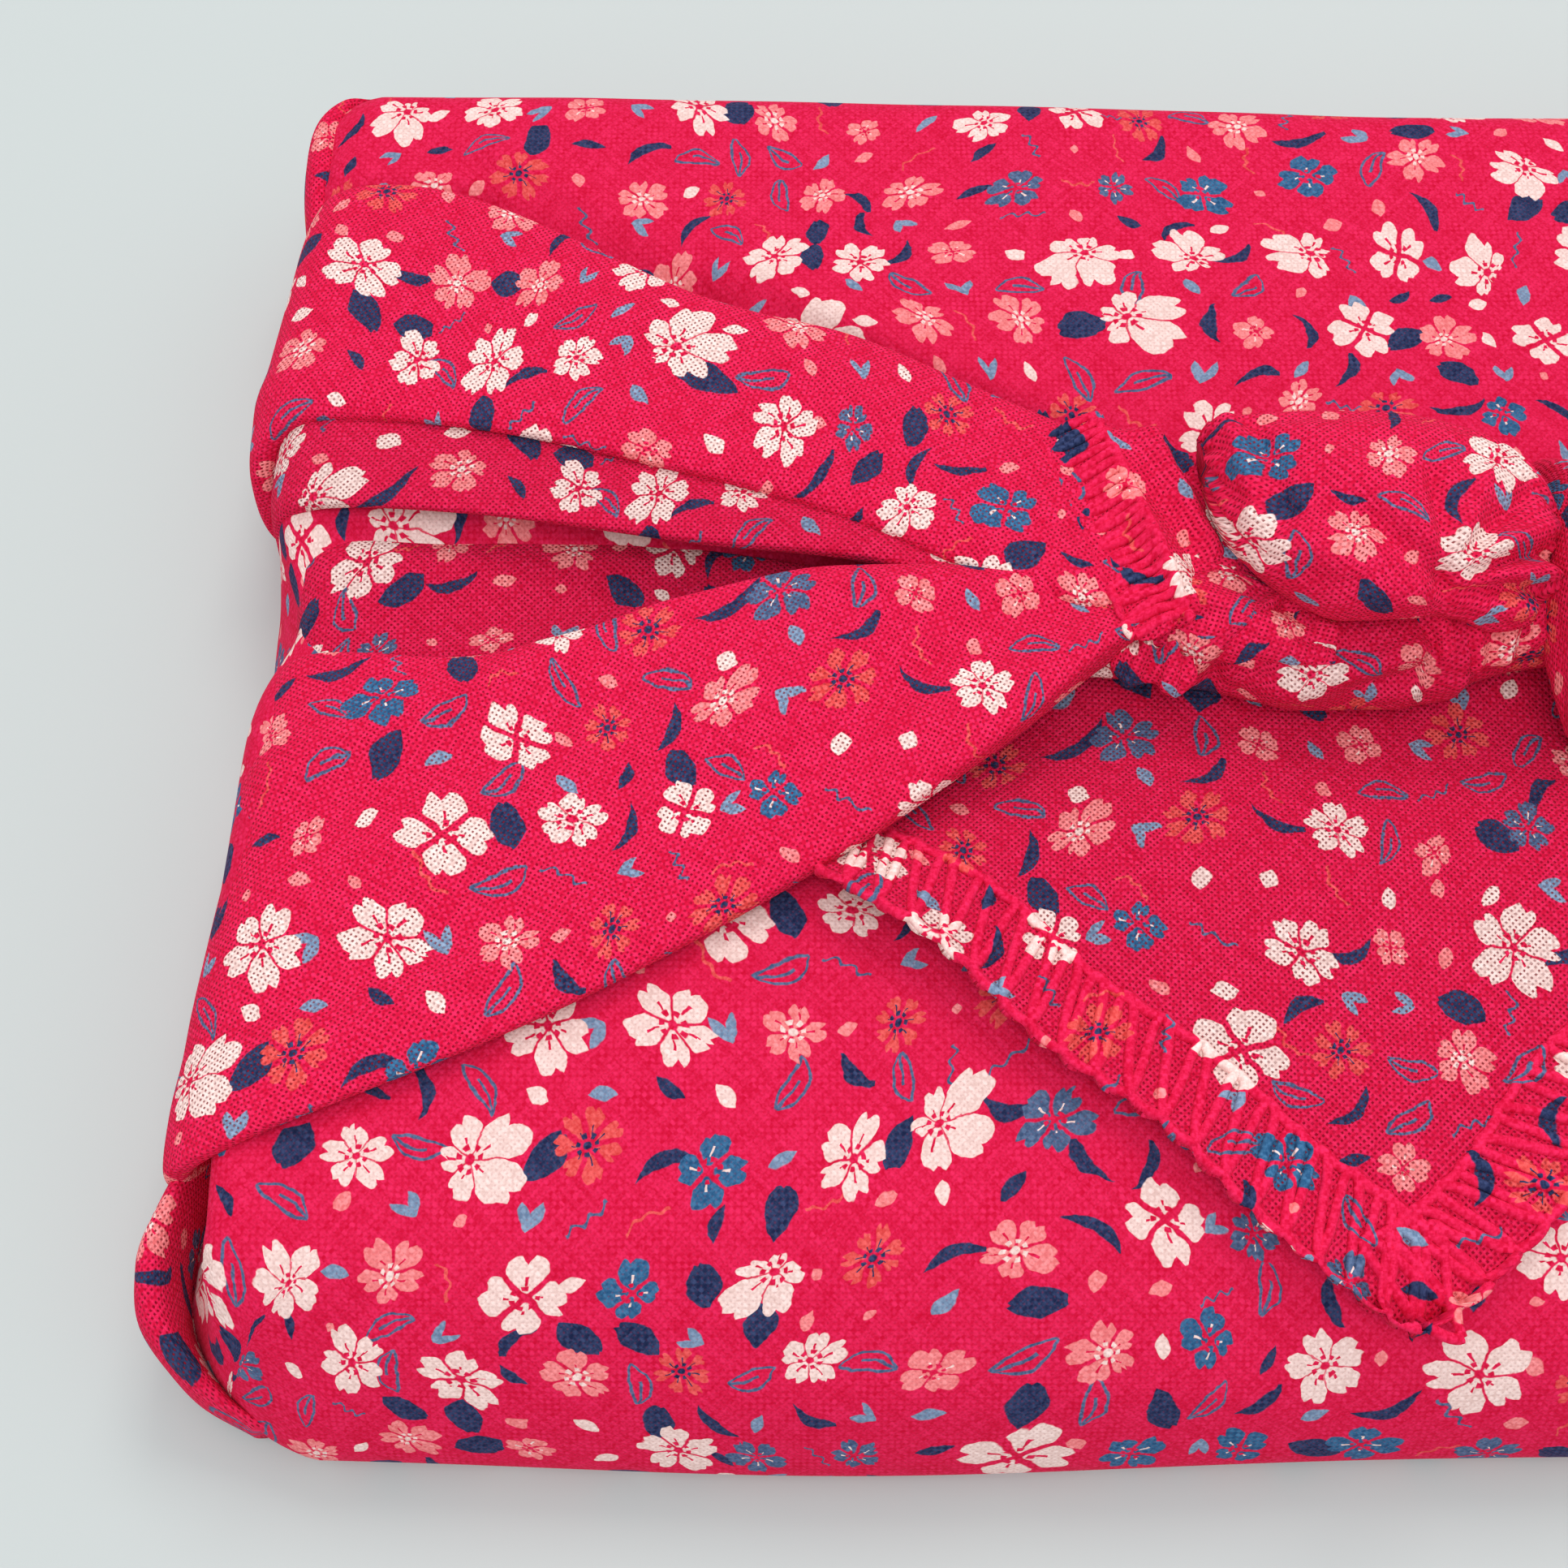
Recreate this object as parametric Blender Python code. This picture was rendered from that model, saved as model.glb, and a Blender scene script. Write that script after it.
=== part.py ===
"""Furoshiki wrap: one square of printed cotton, folded round a slim box and tied on top.

The parcel lies flat with its long side along X. Its near side faces -Y, and the floor is Z = 0.
The far corner of the cloth comes over the top and ends in a pointed flap on the near side.
The left and right corners rise round the ends in soft pleats, gather, and meet in a knot.
The whole cloth is one piece, so it is one solid: a filled parcel with its real outer folds.
Tables are in millimetres, and a fold or a section of one is a row.
"""

import math
from collections import namedtuple

import bmesh
import bpy
from mathutils import Vector

MM = 0.001

# The parcel, as it lies on its back. The middle of its top rises a little, over CROWN_SHARE of
# its length and width.
HALF_LENGTH = 109.5
HALF_WIDTH = 59.5
CROWN_HEIGHT = 20.8
CROWN_SHARE = 0.6

# How finely the cloth is divided.
CORNER_STEPS = 7
LONG_SIDE_STEPS = 18
SHORT_SIDE_STEPS = 14
FOLD_STEPS = 13
FOLD_SIDES = 14

CLOTH_RED = (0.672, 0.012, 0.058, 1.0)
CLOTH_ROUGHNESS = 0.85

# The plan's four corners, anticlockwise from the near left one. The near left one is cut off
# more, where the cloth is folded in, and the far side is drawn in towards the knot.
Corner = namedtuple("Corner", "x y cut")
CORNERS = (
    Corner(-109.5, -58.3, 10.0),
    Corner(109.0, -58.3, 9.0),
    Corner(107.0, 58.6, 6.0),
    Corner(-106.5, 59.0, 5.5),
)

# Where the plan swells past that outline, or is drawn in (out is negative).
Bulge = namedtuple("Bulge", "x y out reach")
BULGES = (
    Bulge(-110, 25.5, 2.2, 4.0),
    Bulge(-108, 6.0, -1.2, 8.0),
    Bulge(-110, -47.0, 2.4, 6.0),
    Bulge(-60, -59.5, 1.6, 26.0),
    Bulge(0, 58.0, -1.6, 40.0),
    Bulge(108, -20.0, 1.4, 12.0),
    Bulge(108, 30.0, -1.0, 10.0),
    Bulge(50, -59.5, 1.0, 22.0),
)

# The rounding of the parcel's edge, from the floor up: how far in each ring lies, and how high.
Ring = namedtuple("Ring", "inset height")
RINGS = (
    Ring(3.2, 0.0),
    Ring(1.0, 1.2),
    Ring(0.0, 4.5),
    Ring(0.4, 11.0),
    Ring(1.4, 15.6),
    Ring(3.0, 18.2),
    Ring(5.6, 19.6),
    Ring(11.0, 20.1),
)

# A fold is a soft band between two edges. Each row is a section through it: its far edge
# (x1, y1), its near edge (x2, y2), the height of its middle line, half its thickness, and how
# far it leans outwards from lying flat, in degrees.
Section = namedtuple("Section", "x1 y1 x2 y2 z half lean")

UPPER_PLEAT = (
    Section(-104.6, 42.0, -105.2, 24.0, 1.4, 1.6, 90),
    Section(-106.0, 43.5, -107.0, 22.5, 7.0, 2.8, 90),
    Section(-105.5, 44.5, -107.2, 22.0, 14.5, 2.8, 70),
    Section(-102.5, 45.5, -103.5, 23.0, 19.2, 2.4, 25),
    Section(-91.6, 44.1, -90.0, 20.0, 20.2, 2.2, 0),
    Section(-72.0, 33.3, -71.7, 15.0, 20.8, 2.4, 0),
    Section(-59.2, 28.6, -59.5, 10.2, 21.4, 2.9, 0),
    Section(-46.0, 21.2, -46.0, 2.6, 22.6, 3.6, 0),
    Section(-33.0, 14.0, -33.0, 0.0, 25.0, 4.2, 0),
)
MIDDLE_PLEAT = (
    Section(-104.4, 25.0, -104.2, 12.5, 1.4, 1.4, 90),
    Section(-105.6, 25.0, -105.4, 12.0, 7.0, 2.1, 90),
    Section(-105.4, 26.0, -105.2, 13.0, 14.5, 2.0, 70),
    Section(-102.0, 26.0, -102.0, 14.0, 19.0, 1.8, 25),
    Section(-90.0, 24.0, -90.4, 12.3, 19.8, 1.7, 0),
    Section(-72.0, 19.0, -72.0, 9.2, 20.2, 1.7, 0),
    Section(-57.0, 14.0, -57.0, 6.9, 20.9, 1.9, 0),
    Section(-43.0, 8.0, -43.0, 0.6, 22.6, 2.4, 0),
)
LOWER_PLEAT = (
    Section(-105.0, -3.0, -106.4, -38.5, 1.4, 1.6, 90),
    Section(-106.5, -2.0, -108.2, -40.5, 7.0, 2.6, 90),
    Section(-106.5, -1.5, -108.4, -41.0, 14.2, 2.6, 70),
    Section(-102.0, -0.7, -103.4, -39.6, 19.1, 2.0, 20),
    Section(-88.0, -0.2, -86.0, -32.7, 19.9, 2.2, 0),
    Section(-73.0, 4.2, -73.0, -26.3, 20.5, 2.4, 0),
    Section(-60.0, 6.0, -60.0, -18.6, 21.2, 3.0, 0),
    Section(-48.0, 5.0, -48.0, -9.6, 22.4, 3.8, 0),
    Section(-34.0, 4.0, -34.0, -4.0, 25.0, 4.2, 0),
)

# The lobes at the parcel's corners, where the cloth of the long sides is folded in.
NEAR_LOBE = (
    Section(-107.0, -43.5, -107.0, -55.0, 1.6, 1.4, 90),
    Section(-108.0, -43.0, -107.6, -56.0, 6.0, 3.4, 90),
    Section(-107.6, -43.0, -107.0, -56.0, 12.0, 3.6, 80),
    Section(-104.0, -43.5, -104.5, -54.0, 17.0, 2.4, 50),
)
FAR_LOBE = (
    Section(-103.8, 56.0, -104.6, 46.5, 2.0, 1.6, 90),
    Section(-104.0, 57.0, -104.8, 46.5, 8.0, 3.0, 90),
    Section(-103.4, 57.0, -104.0, 46.5, 15.0, 2.8, 75),
    Section(-100.5, 56.0, -100.5, 47.5, 18.4, 1.8, 35),
)

# The knot: the standing part that runs into it, the ear that stands out of it, and the end of
# the other corner, which lies over the pleats.
STANDING_PART = (
    Section(-48.0, 8.0, -48.0, -7.0, 22.4, 3.6, 0),
    Section(-38.0, 6.5, -37.0, -6.2, 24.8, 4.6, 0),
    Section(-30.0, 5.0, -30.0, -6.8, 25.6, 5.2, 0),
    Section(-22.0, 4.0, -22.0, -7.0, 25.6, 5.4, 0),
    Section(-13.0, 4.0, -13.0, -5.4, 26.2, 5.4, 0),
    Section(0.0, 5.0, 0.0, -4.4, 27.6, 5.4, 0),
)
EAR = (
    Section(-33.5, 12.0, -32.5, 6.0, 25.8, 3.4, 0),
    Section(-30.0, 13.2, -29.0, 2.0, 27.8, 5.6, 0),
    Section(-22.0, 13.2, -23.0, -1.6, 28.6, 7.2, 0),
    Section(-14.0, 13.0, -15.0, -2.2, 28.8, 7.6, 0),
    Section(-7.0, 11.2, -8.0, -0.6, 28.8, 6.8, 0),
    Section(0.0, 8.0, 0.0, 1.0, 28.2, 5.0, 0),
)
TAIL_END = (
    Section(-44.0, 17.6, -38.4, -0.6, 24.6, 1.9, 0),
    Section(-39.5, 16.4, -35.0, -2.6, 26.0, 2.6, 0),
    Section(-31.0, 13.6, -29.0, -1.0, 26.6, 4.0, 0),
    Section(-24.0, 10.0, -24.0, 1.0, 26.8, 4.6, 0),
)
KNOT_BAND = (
    Section(3.4, 14.0, -3.4, 14.0, 20.6, 1.6, 0),
    Section(5.6, 11.4, -5.6, 11.4, 24.4, 5.0, 0),
    Section(7.0, 6.0, -7.0, 6.0, 28.6, 7.6, 0),
    Section(7.6, 0.6, -7.6, 0.6, 29.4, 8.2, 0),
    Section(6.8, -4.6, -6.8, -4.6, 27.2, 6.8, 0),
    Section(4.8, -8.6, -4.8, -8.6, 23.0, 3.4, 0),
    Section(3.0, -9.8, -3.0, -9.8, 20.4, 1.4, 0),
)

# The pointed flap: the far corner of the cloth, lying on the near side of the top.
FLAP = (
    Section(-76.0, 6.0, 44.0, 6.0, 19.8, 1.5, 0),
    Section(-62.7, -18.5, 16.0, -18.5, 20.0, 1.5, 0),
    Section(-50.5, -29.5, 4.6, -29.5, 20.0, 1.5, 0),
    Section(-37.6, -41.5, -6.6, -41.5, 19.9, 1.5, 0),
    Section(-28.0, -50.5, -14.8, -50.5, 19.4, 1.5, 0),
    Section(-22.4, -55.4, -18.4, -55.4, 18.4, 1.4, 0),
)

# How square a fold's section is: puffed cloth is nearly round, and flat cloth has crisp edges.
PUFFED = 2.2
CREASED = 2.8
BROAD = 3.2
FLAT = 5.0

Fold = namedtuple("Fold", "name sections squareness")
LEFT_FOLDS = (
    Fold("upper_pleat", UPPER_PLEAT, CREASED),
    Fold("middle_pleat", MIDDLE_PLEAT, CREASED),
    Fold("lower_pleat", LOWER_PLEAT, BROAD),
    Fold("near_lobe", NEAR_LOBE, PUFFED),
    Fold("far_lobe", FAR_LOBE, PUFFED),
    Fold("standing_part", STANDING_PART, PUFFED),
    Fold("ear", EAR, PUFFED),
    Fold("tail_end", TAIL_END, PUFFED),
)
MIDDLE_FOLDS = (
    Fold("knot_band", KNOT_BAND, PUFFED),
    Fold("flap", FLAP, FLAT),
)

# The right half is the left one's mirror image, tied by hand: a little slimmer and lower.
RIGHT_SLIMMER = 0.93
RIGHT_SHIFT = -1.2


def clear_scene():
    for obj in list(bpy.data.objects):
        bpy.data.objects.remove(obj)


def cloth_material():
    material = bpy.data.materials.new("printed_cotton")
    material.use_nodes = True
    shader = material.node_tree.nodes["Principled BSDF"]
    shader.inputs["Base Color"].default_value = CLOTH_RED
    shader.inputs["Roughness"].default_value = CLOTH_ROUGHNESS
    shader.inputs["Metallic"].default_value = 0.0
    return material


def new_object(name, points, faces):
    """An object from points in millimetres."""
    mesh = bpy.data.meshes.new(name)
    mesh.from_pydata([Vector(p) * MM for p in points], [], faces)
    mesh.validate()
    obj = bpy.data.objects.new(name, mesh)
    bpy.context.scene.collection.objects.link(obj)
    return obj


def skin(rings):
    """The faces of a closed skin over rings of equal length, whose ends are flat."""
    count = len(rings[0])
    faces = []
    for level in range(len(rings) - 1):
        for i in range(count):
            j = (i + 1) % count
            low, high = level * count, (level + 1) * count
            faces.append((low + i, low + j, high + j, high + i))
    faces.append(tuple(reversed(range(count))))
    last = (len(rings) - 1) * count
    faces.append(tuple(range(last, last + count)))
    return faces


def swollen(x, y):
    """A point of the plan's outline, pushed out or in by the bulges near it."""
    if abs(x) / HALF_LENGTH > abs(y) / HALF_WIDTH:
        outwards = Vector((math.copysign(1, x), 0))
    else:
        outwards = Vector((0, math.copysign(1, y)))
    push = 0.0
    for bulge in BULGES:
        away = math.hypot(x - bulge.x, y - bulge.y) / bulge.reach
        push += bulge.out * math.exp(-away * away)
    return x + outwards.x * push, y + outwards.y * push


def outline():
    """The parcel's plan, anticlockwise: straight sides between corners drawn as soft curves."""
    points = []
    for i, corner in enumerate(CORNERS):
        here = Vector((corner.x, corner.y))
        before, after = CORNERS[i - 1], CORNERS[(i + 1) % len(CORNERS)]
        enter = here + (Vector((before.x, before.y)) - here).normalized() * corner.cut
        leave = here + (Vector((after.x, after.y)) - here).normalized() * corner.cut
        for step in range(CORNER_STEPS):
            t = step / (CORNER_STEPS - 1)
            points.append(enter * (1 - t) ** 2 + here * 2 * t * (1 - t) + leave * t * t)
        finish = Vector((after.x, after.y))
        finish += (here - finish).normalized() * after.cut
        along_x = abs(finish.x - leave.x) > abs(finish.y - leave.y)
        steps = LONG_SIDE_STEPS if along_x else SHORT_SIDE_STEPS
        points += [leave.lerp(finish, step / steps) for step in range(1, steps)]
    return [swollen(p.x, p.y) for p in points]


def parcel():
    """The filled parcel: its outline at each ring, with a flat face to rest on."""
    plan = outline()
    rings = []
    for ring in RINGS:
        shrink_x = 1 - ring.inset / HALF_LENGTH
        shrink_y = 1 - ring.inset / HALF_WIDTH
        rings.append([(x * shrink_x, y * shrink_y, ring.height) for x, y in plan])
    rings.append([(x * CROWN_SHARE, y * CROWN_SHARE, CROWN_HEIGHT) for x, y in plan])
    return new_object("furoshiki_cloth", sum(rings, []), skin(rings))


def between(rows, place):
    """The section at a place along the rows, on a smooth curve through them."""
    last = len(rows) - 1
    i = min(int(place), last - 1)
    t = place - i
    before, start = rows[max(i - 1, 0)], rows[i]
    end, after = rows[i + 1], rows[min(i + 2, last)]
    values = []
    for a, b, c, d in zip(before, start, end, after):
        bend = (2 * a - 5 * b + 4 * c - d) * t**2 + (3 * b - a - 3 * c + d) * t**3
        values.append(b + ((c - a) * t + bend) / 2)
    return Section(*values)


def section_ring(row, side, squareness):
    """The points round one section of a fold. side is -1 on the left of the parcel, 1 on the
    right, and says which way the section leans."""
    far, near = Vector((row.x1, row.y1, row.z)), Vector((row.x2, row.y2, row.z))
    lean = math.radians(row.lean)
    outwards = Vector((side * math.sin(lean), 0, math.cos(lean)))
    across = (near - far) / 2
    power = 2 / squareness
    points = []
    for step in range(FOLD_SIDES):
        turn = 2 * math.pi * step / FOLD_SIDES
        along = math.copysign(abs(math.cos(turn)) ** power, math.cos(turn))
        up = math.copysign(abs(math.sin(turn)) ** power, math.sin(turn))
        points.append((far + near) / 2 + across * along + outwards * up * row.half)
    return points


def fold(entry, side, name):
    """One fold of cloth as a closed helper shape, to be joined to the parcel."""
    last = len(entry.sections) - 1
    rings = []
    for step in range(FOLD_STEPS + 1):
        row = between(entry.sections, last * step / FOLD_STEPS)
        rings.append(section_ring(row, side, entry.squareness))
    helper = new_object(name, sum(rings, []), skin(rings))
    helper.hide_render = True
    helper.display_type = "WIRE"
    return helper


def mirrored(entry):
    """The same fold on the right of the parcel."""
    rows = []
    for row in entry.sections:
        middle = (row.y1 + row.y2) / 2 + RIGHT_SHIFT
        reach = (row.y1 - row.y2) / 2 * RIGHT_SLIMMER
        rows.append(row._replace(x1=-row.x1, y1=middle + reach, x2=-row.x2, y2=middle - reach))
    return entry._replace(sections=tuple(rows))


def face_outwards(obj):
    """Divides a closed mesh into triangles and turns it the right way out."""
    shape = bmesh.new()
    shape.from_mesh(obj.data)
    bmesh.ops.triangulate(shape, faces=shape.faces)
    bmesh.ops.recalc_face_normals(shape, faces=shape.faces)
    shape.to_mesh(obj.data)
    shape.free()


def join(obj, helper):
    union = obj.modifiers.new(helper.name, "BOOLEAN")
    union.operation = "UNION"
    union.solver = "EXACT"
    union.object = helper


def furoshiki():
    """The whole cloth as one solid: the parcel, with each fold joined to it."""
    cloth = parcel()
    face_outwards(cloth)
    helpers = [fold(entry, -1, f"{entry.name}_left") for entry in LEFT_FOLDS]
    helpers += [fold(mirrored(entry), 1, f"{entry.name}_right") for entry in LEFT_FOLDS]
    helpers += [fold(entry, -1, entry.name) for entry in MIDDLE_FOLDS]
    for helper in helpers:
        face_outwards(helper)
        join(cloth, helper)
    cloth.data.materials.append(cloth_material())
    return cloth


clear_scene()
furoshiki()
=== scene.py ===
# %% [markdown]
# # A tied furoshiki, from the cloth up
# A furoshiki is one square of cotton. Here it is folded round a slim box: two corners cross over
# the top, and the other two rise round the ends in pleats and are tied in a knot. The packed
# solid gives the size and the place of everything, so it is loaded first and measured. The
# cloth's tables are in millimetres, because a cloth worker thinks in them, and they become
# Blender's metres where the meshes are made.

# %% Load the frame
import math
from collections import namedtuple

import bmesh
import bpy
import numpy as np
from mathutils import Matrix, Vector
from mathutils.bvhtree import BVHTree


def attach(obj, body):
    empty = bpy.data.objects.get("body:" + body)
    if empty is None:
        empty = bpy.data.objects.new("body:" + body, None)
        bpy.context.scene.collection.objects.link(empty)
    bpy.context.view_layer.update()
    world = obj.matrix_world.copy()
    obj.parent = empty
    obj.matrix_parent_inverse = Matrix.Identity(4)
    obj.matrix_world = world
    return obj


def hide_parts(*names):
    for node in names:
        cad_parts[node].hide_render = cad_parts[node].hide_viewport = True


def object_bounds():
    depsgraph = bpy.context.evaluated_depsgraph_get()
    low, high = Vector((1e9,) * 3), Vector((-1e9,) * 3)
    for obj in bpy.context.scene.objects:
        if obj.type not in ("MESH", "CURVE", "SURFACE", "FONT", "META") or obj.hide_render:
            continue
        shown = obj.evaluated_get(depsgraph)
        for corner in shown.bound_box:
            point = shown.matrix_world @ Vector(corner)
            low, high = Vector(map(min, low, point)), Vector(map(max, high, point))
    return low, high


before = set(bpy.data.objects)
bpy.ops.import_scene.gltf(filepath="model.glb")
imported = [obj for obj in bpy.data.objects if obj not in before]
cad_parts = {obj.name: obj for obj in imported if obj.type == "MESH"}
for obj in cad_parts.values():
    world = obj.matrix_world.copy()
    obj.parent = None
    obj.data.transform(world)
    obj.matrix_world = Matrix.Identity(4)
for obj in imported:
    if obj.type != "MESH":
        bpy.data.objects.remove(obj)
cad_box = [list(corner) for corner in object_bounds()]
MM = 0.001
low, high = (np.array(corner) / MM for corner in cad_box)
print("the packed solid spans", np.round(low, 1), "to", np.round(high, 1), "mm")

# %% [markdown]
# ## The camera
# The photograph looks down on the left half of the parcel from close by. The way its near side
# shows, and how much narrower its far side looks, give the tilt and the distance. The camera
# could be placed by eye, but a target point, a tilt and a distance are easier to correct.

# %% Place the camera
TARGET = Vector((-64.8, -11.65, 20.0)) * MM
CAMERA_TILT = math.radians(26)
CAMERA_DISTANCE = 168 * MM
CAMERA_LENS = 50
CAMERA_SENSOR = 36

camera_data = bpy.data.cameras.new("photo_view")
camera_data.lens = CAMERA_LENS
camera_data.sensor_width = CAMERA_SENSOR
camera_data.clip_start = 5 * MM
camera = bpy.data.objects.new("photo_view", camera_data)
away = Vector((0, -math.sin(CAMERA_TILT), math.cos(CAMERA_TILT)))
camera.location = TARGET + away * CAMERA_DISTANCE
camera.rotation_euler = (CAMERA_TILT, 0, 0)
bpy.context.scene.collection.objects.link(camera)
bpy.context.scene.camera = camera
print("the camera stands", round(camera.location.z / MM), "mm above the table")

# %% [markdown]
# ## Table and light
# The parcel lies on a pale blue-grey table in a bright room with light from all round, so the
# folds show by the soft dark lines where they shut the light out, and even the parcel's sides
# are bright. The world is that room. A soft lamp adds a window on the far side, and a wide one
# the ceiling over the viewer.

# %% Light the table
Lamp = namedtuple("Lamp", "name place aim size power colour")
LAMPS = (
    Lamp("window", (0.08, 0.48, 0.82), (-0.05, 0, 0.02), 0.34, 2.4, (1.0, 0.99, 0.97)),
    Lamp("ceiling", (-0.12, -0.40, 1.06), (0, 0, 0), 0.7, 4.5, (0.97, 0.985, 1.0)),
)
ROOM_COLOUR = (0.95, 0.98, 1.0, 1)
ROOM_STRENGTH = 0.86
TABLE_REACH = 2
TABLE_COLOUR = (0.51, 0.545, 0.535, 1)
TABLE_ROUGHNESS = 0.6


def area_lamp(name, place, aim, size, power, colour):
    """A square lamp at a place in metres, turned to face another place."""
    data = bpy.data.lights.new(name, "AREA")
    data.size = size
    data.energy = power
    data.color = colour
    lamp = bpy.data.objects.new(name, data)
    lamp.location = place
    lamp.rotation_euler = (Vector(aim) - Vector(place)).to_track_quat("-Z", "Y").to_euler()
    bpy.context.scene.collection.objects.link(lamp)


for lamp in LAMPS:
    area_lamp(*lamp)

world = bpy.data.worlds.new("room")
world.use_nodes = True
room = world.node_tree.nodes["Background"]
room.inputs["Color"].default_value = ROOM_COLOUR
room.inputs["Strength"].default_value = ROOM_STRENGTH
bpy.context.scene.world = world
bpy.context.scene.view_settings.view_transform = "Standard"

table_mesh = bpy.data.meshes.new("table")
table_corners = [(x * TABLE_REACH, y * TABLE_REACH, 0) for x, y in ((-1, -1), (1, -1), (1, 1), (-1, 1))]
table_mesh.from_pydata(table_corners, [], [(0, 1, 2, 3)])
table = bpy.data.objects.new("table", table_mesh)
bpy.context.scene.collection.objects.link(table)
table_paint = bpy.data.materials.new("table_paint")
table_paint.use_nodes = True
table_shader = table_paint.node_tree.nodes["Principled BSDF"]
table_shader.inputs["Base Color"].default_value = TABLE_COLOUR
table_shader.inputs["Roughness"].default_value = TABLE_ROUGHNESS
table_mesh.materials.append(table_paint)
print(len(LAMPS), "lamps, a pale world and a table")

# %% [markdown]
# ## Writing shaders as short sums
# The print and the weave are drawn by arithmetic on the cloth's own map, which is in metres of
# flat cloth. Placing each node by hand takes four lines, so one small helper makes a node, fills
# its inputs with numbers or links, and returns its output. Sums then read like sums.

# %% A helper for node trees
def fill(tree, socket, value):
    """Gives an input a link or a value."""
    if isinstance(value, bpy.types.NodeSocket):
        tree.links.new(value, socket)
    else:
        socket.default_value = value


def node(tree, kind, *values, **settings):
    """A new node with its settings, its inputs filled in order; returns its first output."""
    made = tree.nodes.new(kind)
    for name, value in settings.items():
        setattr(made, name, value)
    for socket, value in zip(made.inputs, values):
        fill(tree, socket, value)
    return made.outputs[0]


def maths(tree, operation, *values):
    """One sum on numbers."""
    return node(tree, "ShaderNodeMath", *values, operation=operation)


def vectors(tree, operation, *values):
    """One sum on vectors."""
    return node(tree, "ShaderNodeVectorMath", *values, operation=operation)


def parts_of(tree, vector):
    """The three parts of a vector or a colour, as separate sockets."""
    split = node(tree, "ShaderNodeSeparateXYZ", vector).node
    return split.outputs[0], split.outputs[1], split.outputs[2]


def soft_step(tree, value, start, end):
    """0 below start, 1 above end, and a smooth rise between them."""
    made = tree.nodes.new("ShaderNodeMapRange")
    made.interpolation_type = "SMOOTHSTEP"
    for name, number in (("Value", value), ("From Min", start), ("From Max", end)):
        fill(tree, made.inputs[name], number)
    return made.outputs[0]


def over_number(tree, a, b, share):
    """A number part of the way from a to b."""
    return maths(tree, "MULTIPLY_ADD", maths(tree, "SUBTRACT", b, a), share, a)


def over(tree, below, above, mask):
    """One colour over another through a mask."""
    made = tree.nodes.new("ShaderNodeMix")
    made.data_type = "RGBA"
    for socket, value in ((made.inputs[0], mask), (made.inputs[6], below), (made.inputs[7], above)):
        fill(tree, socket, value)
    return made.outputs[2]


def group(name, inputs, outputs):
    """An empty shader group with named sockets; returns it with its input and output nodes."""
    tree = bpy.data.node_groups.new(name, "ShaderNodeTree")
    for label, kind, default in inputs:
        socket = tree.interface.new_socket(label, in_out="INPUT", socket_type=kind)
        if default is not None:
            socket.default_value = default
    for label, kind in outputs:
        tree.interface.new_socket(label, in_out="OUTPUT", socket_type=kind)
    return tree, tree.nodes.new("NodeGroupInput"), tree.nodes.new("NodeGroupOutput")


print("helpers ready")

# %% [markdown]
# ## The inks
# The cloth is crimson, and seven inks are printed on it: a white, two reds and four blues.
# Naming them once keeps every motif on the same colours, as on a real roller print. The one
# called deep is no ink: it is the crimson that shows in the holes of the weave.

# %% Name the inks
INKS = {
    "crimson": (0.72, 0.020, 0.094, 1),
    "deep": (0.30, 0.002, 0.010, 1),
    "white": (0.86, 0.65, 0.61, 1),
    "coral": (0.86, 0.27, 0.28, 1),
    "orange": (0.76, 0.11, 0.11, 1),
    "blue": (0.055, 0.16, 0.30, 1),
    "slate": (0.110, 0.165, 0.285, 1),
    "pale": (0.24, 0.32, 0.45, 1),
    "navy": (0.040, 0.056, 0.135, 1),
}
print(len(INKS) - 2, "inks on crimson")

# %% [markdown]
# ## The chart of motifs
# A ditsy print is ordinary flowers, leaves, hearts and squiggles thrown about evenly. The
# motifs here are a generic set with a layout of their own. Each chart row is one kind. "upto" is
# the part of all cells, counted from 0 to 1, up to which this kind is chosen, so the steps
# between rows are how common each kind is. Colour ramps with constant steps hold the charts in
# the shader. Like the colours, the numbers in a ramp are kept under 1, so lengths and counts go
# in divided and come out multiplied again.

# %% Chart the flowers and the small motifs
LENGTH_SCALE = 4.0
COUNT_SCALE = 10.0

FlowerKind = namedtuple("FlowerKind", "upto radius petals gap offset petal heart stroke")
FLOWERS = (
    FlowerKind(0.15, 3.35, 5, 0.14, 0.05, "white", "crimson", "crimson"),
    FlowerKind(0.26, 3.45, 4, 0.36, 0.00, "white", "crimson", "crimson"),
    FlowerKind(0.34, 3.30, 5, 0.08, 0.42, "white", "crimson", "crimson"),
    FlowerKind(0.44, 2.95, 5, 0.05, 0.00, "white", "crimson", "crimson"),
    FlowerKind(0.63, 2.75, 5, 0.18, 0.10, "coral", "white", "crimson"),
    FlowerKind(0.76, 1.95, 4, 0.10, 0.00, "coral", "crimson", "white"),
    FlowerKind(0.85, 2.65, 4, 0.20, 0.10, "blue", "crimson", "white"),
    FlowerKind(0.94, 2.60, 7, 0.30, 0.00, "orange", "navy", "navy"),
    FlowerKind(1.00, 2.45, 5, 0.18, 0.00, "slate", "crimson", "white"),
)

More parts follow.
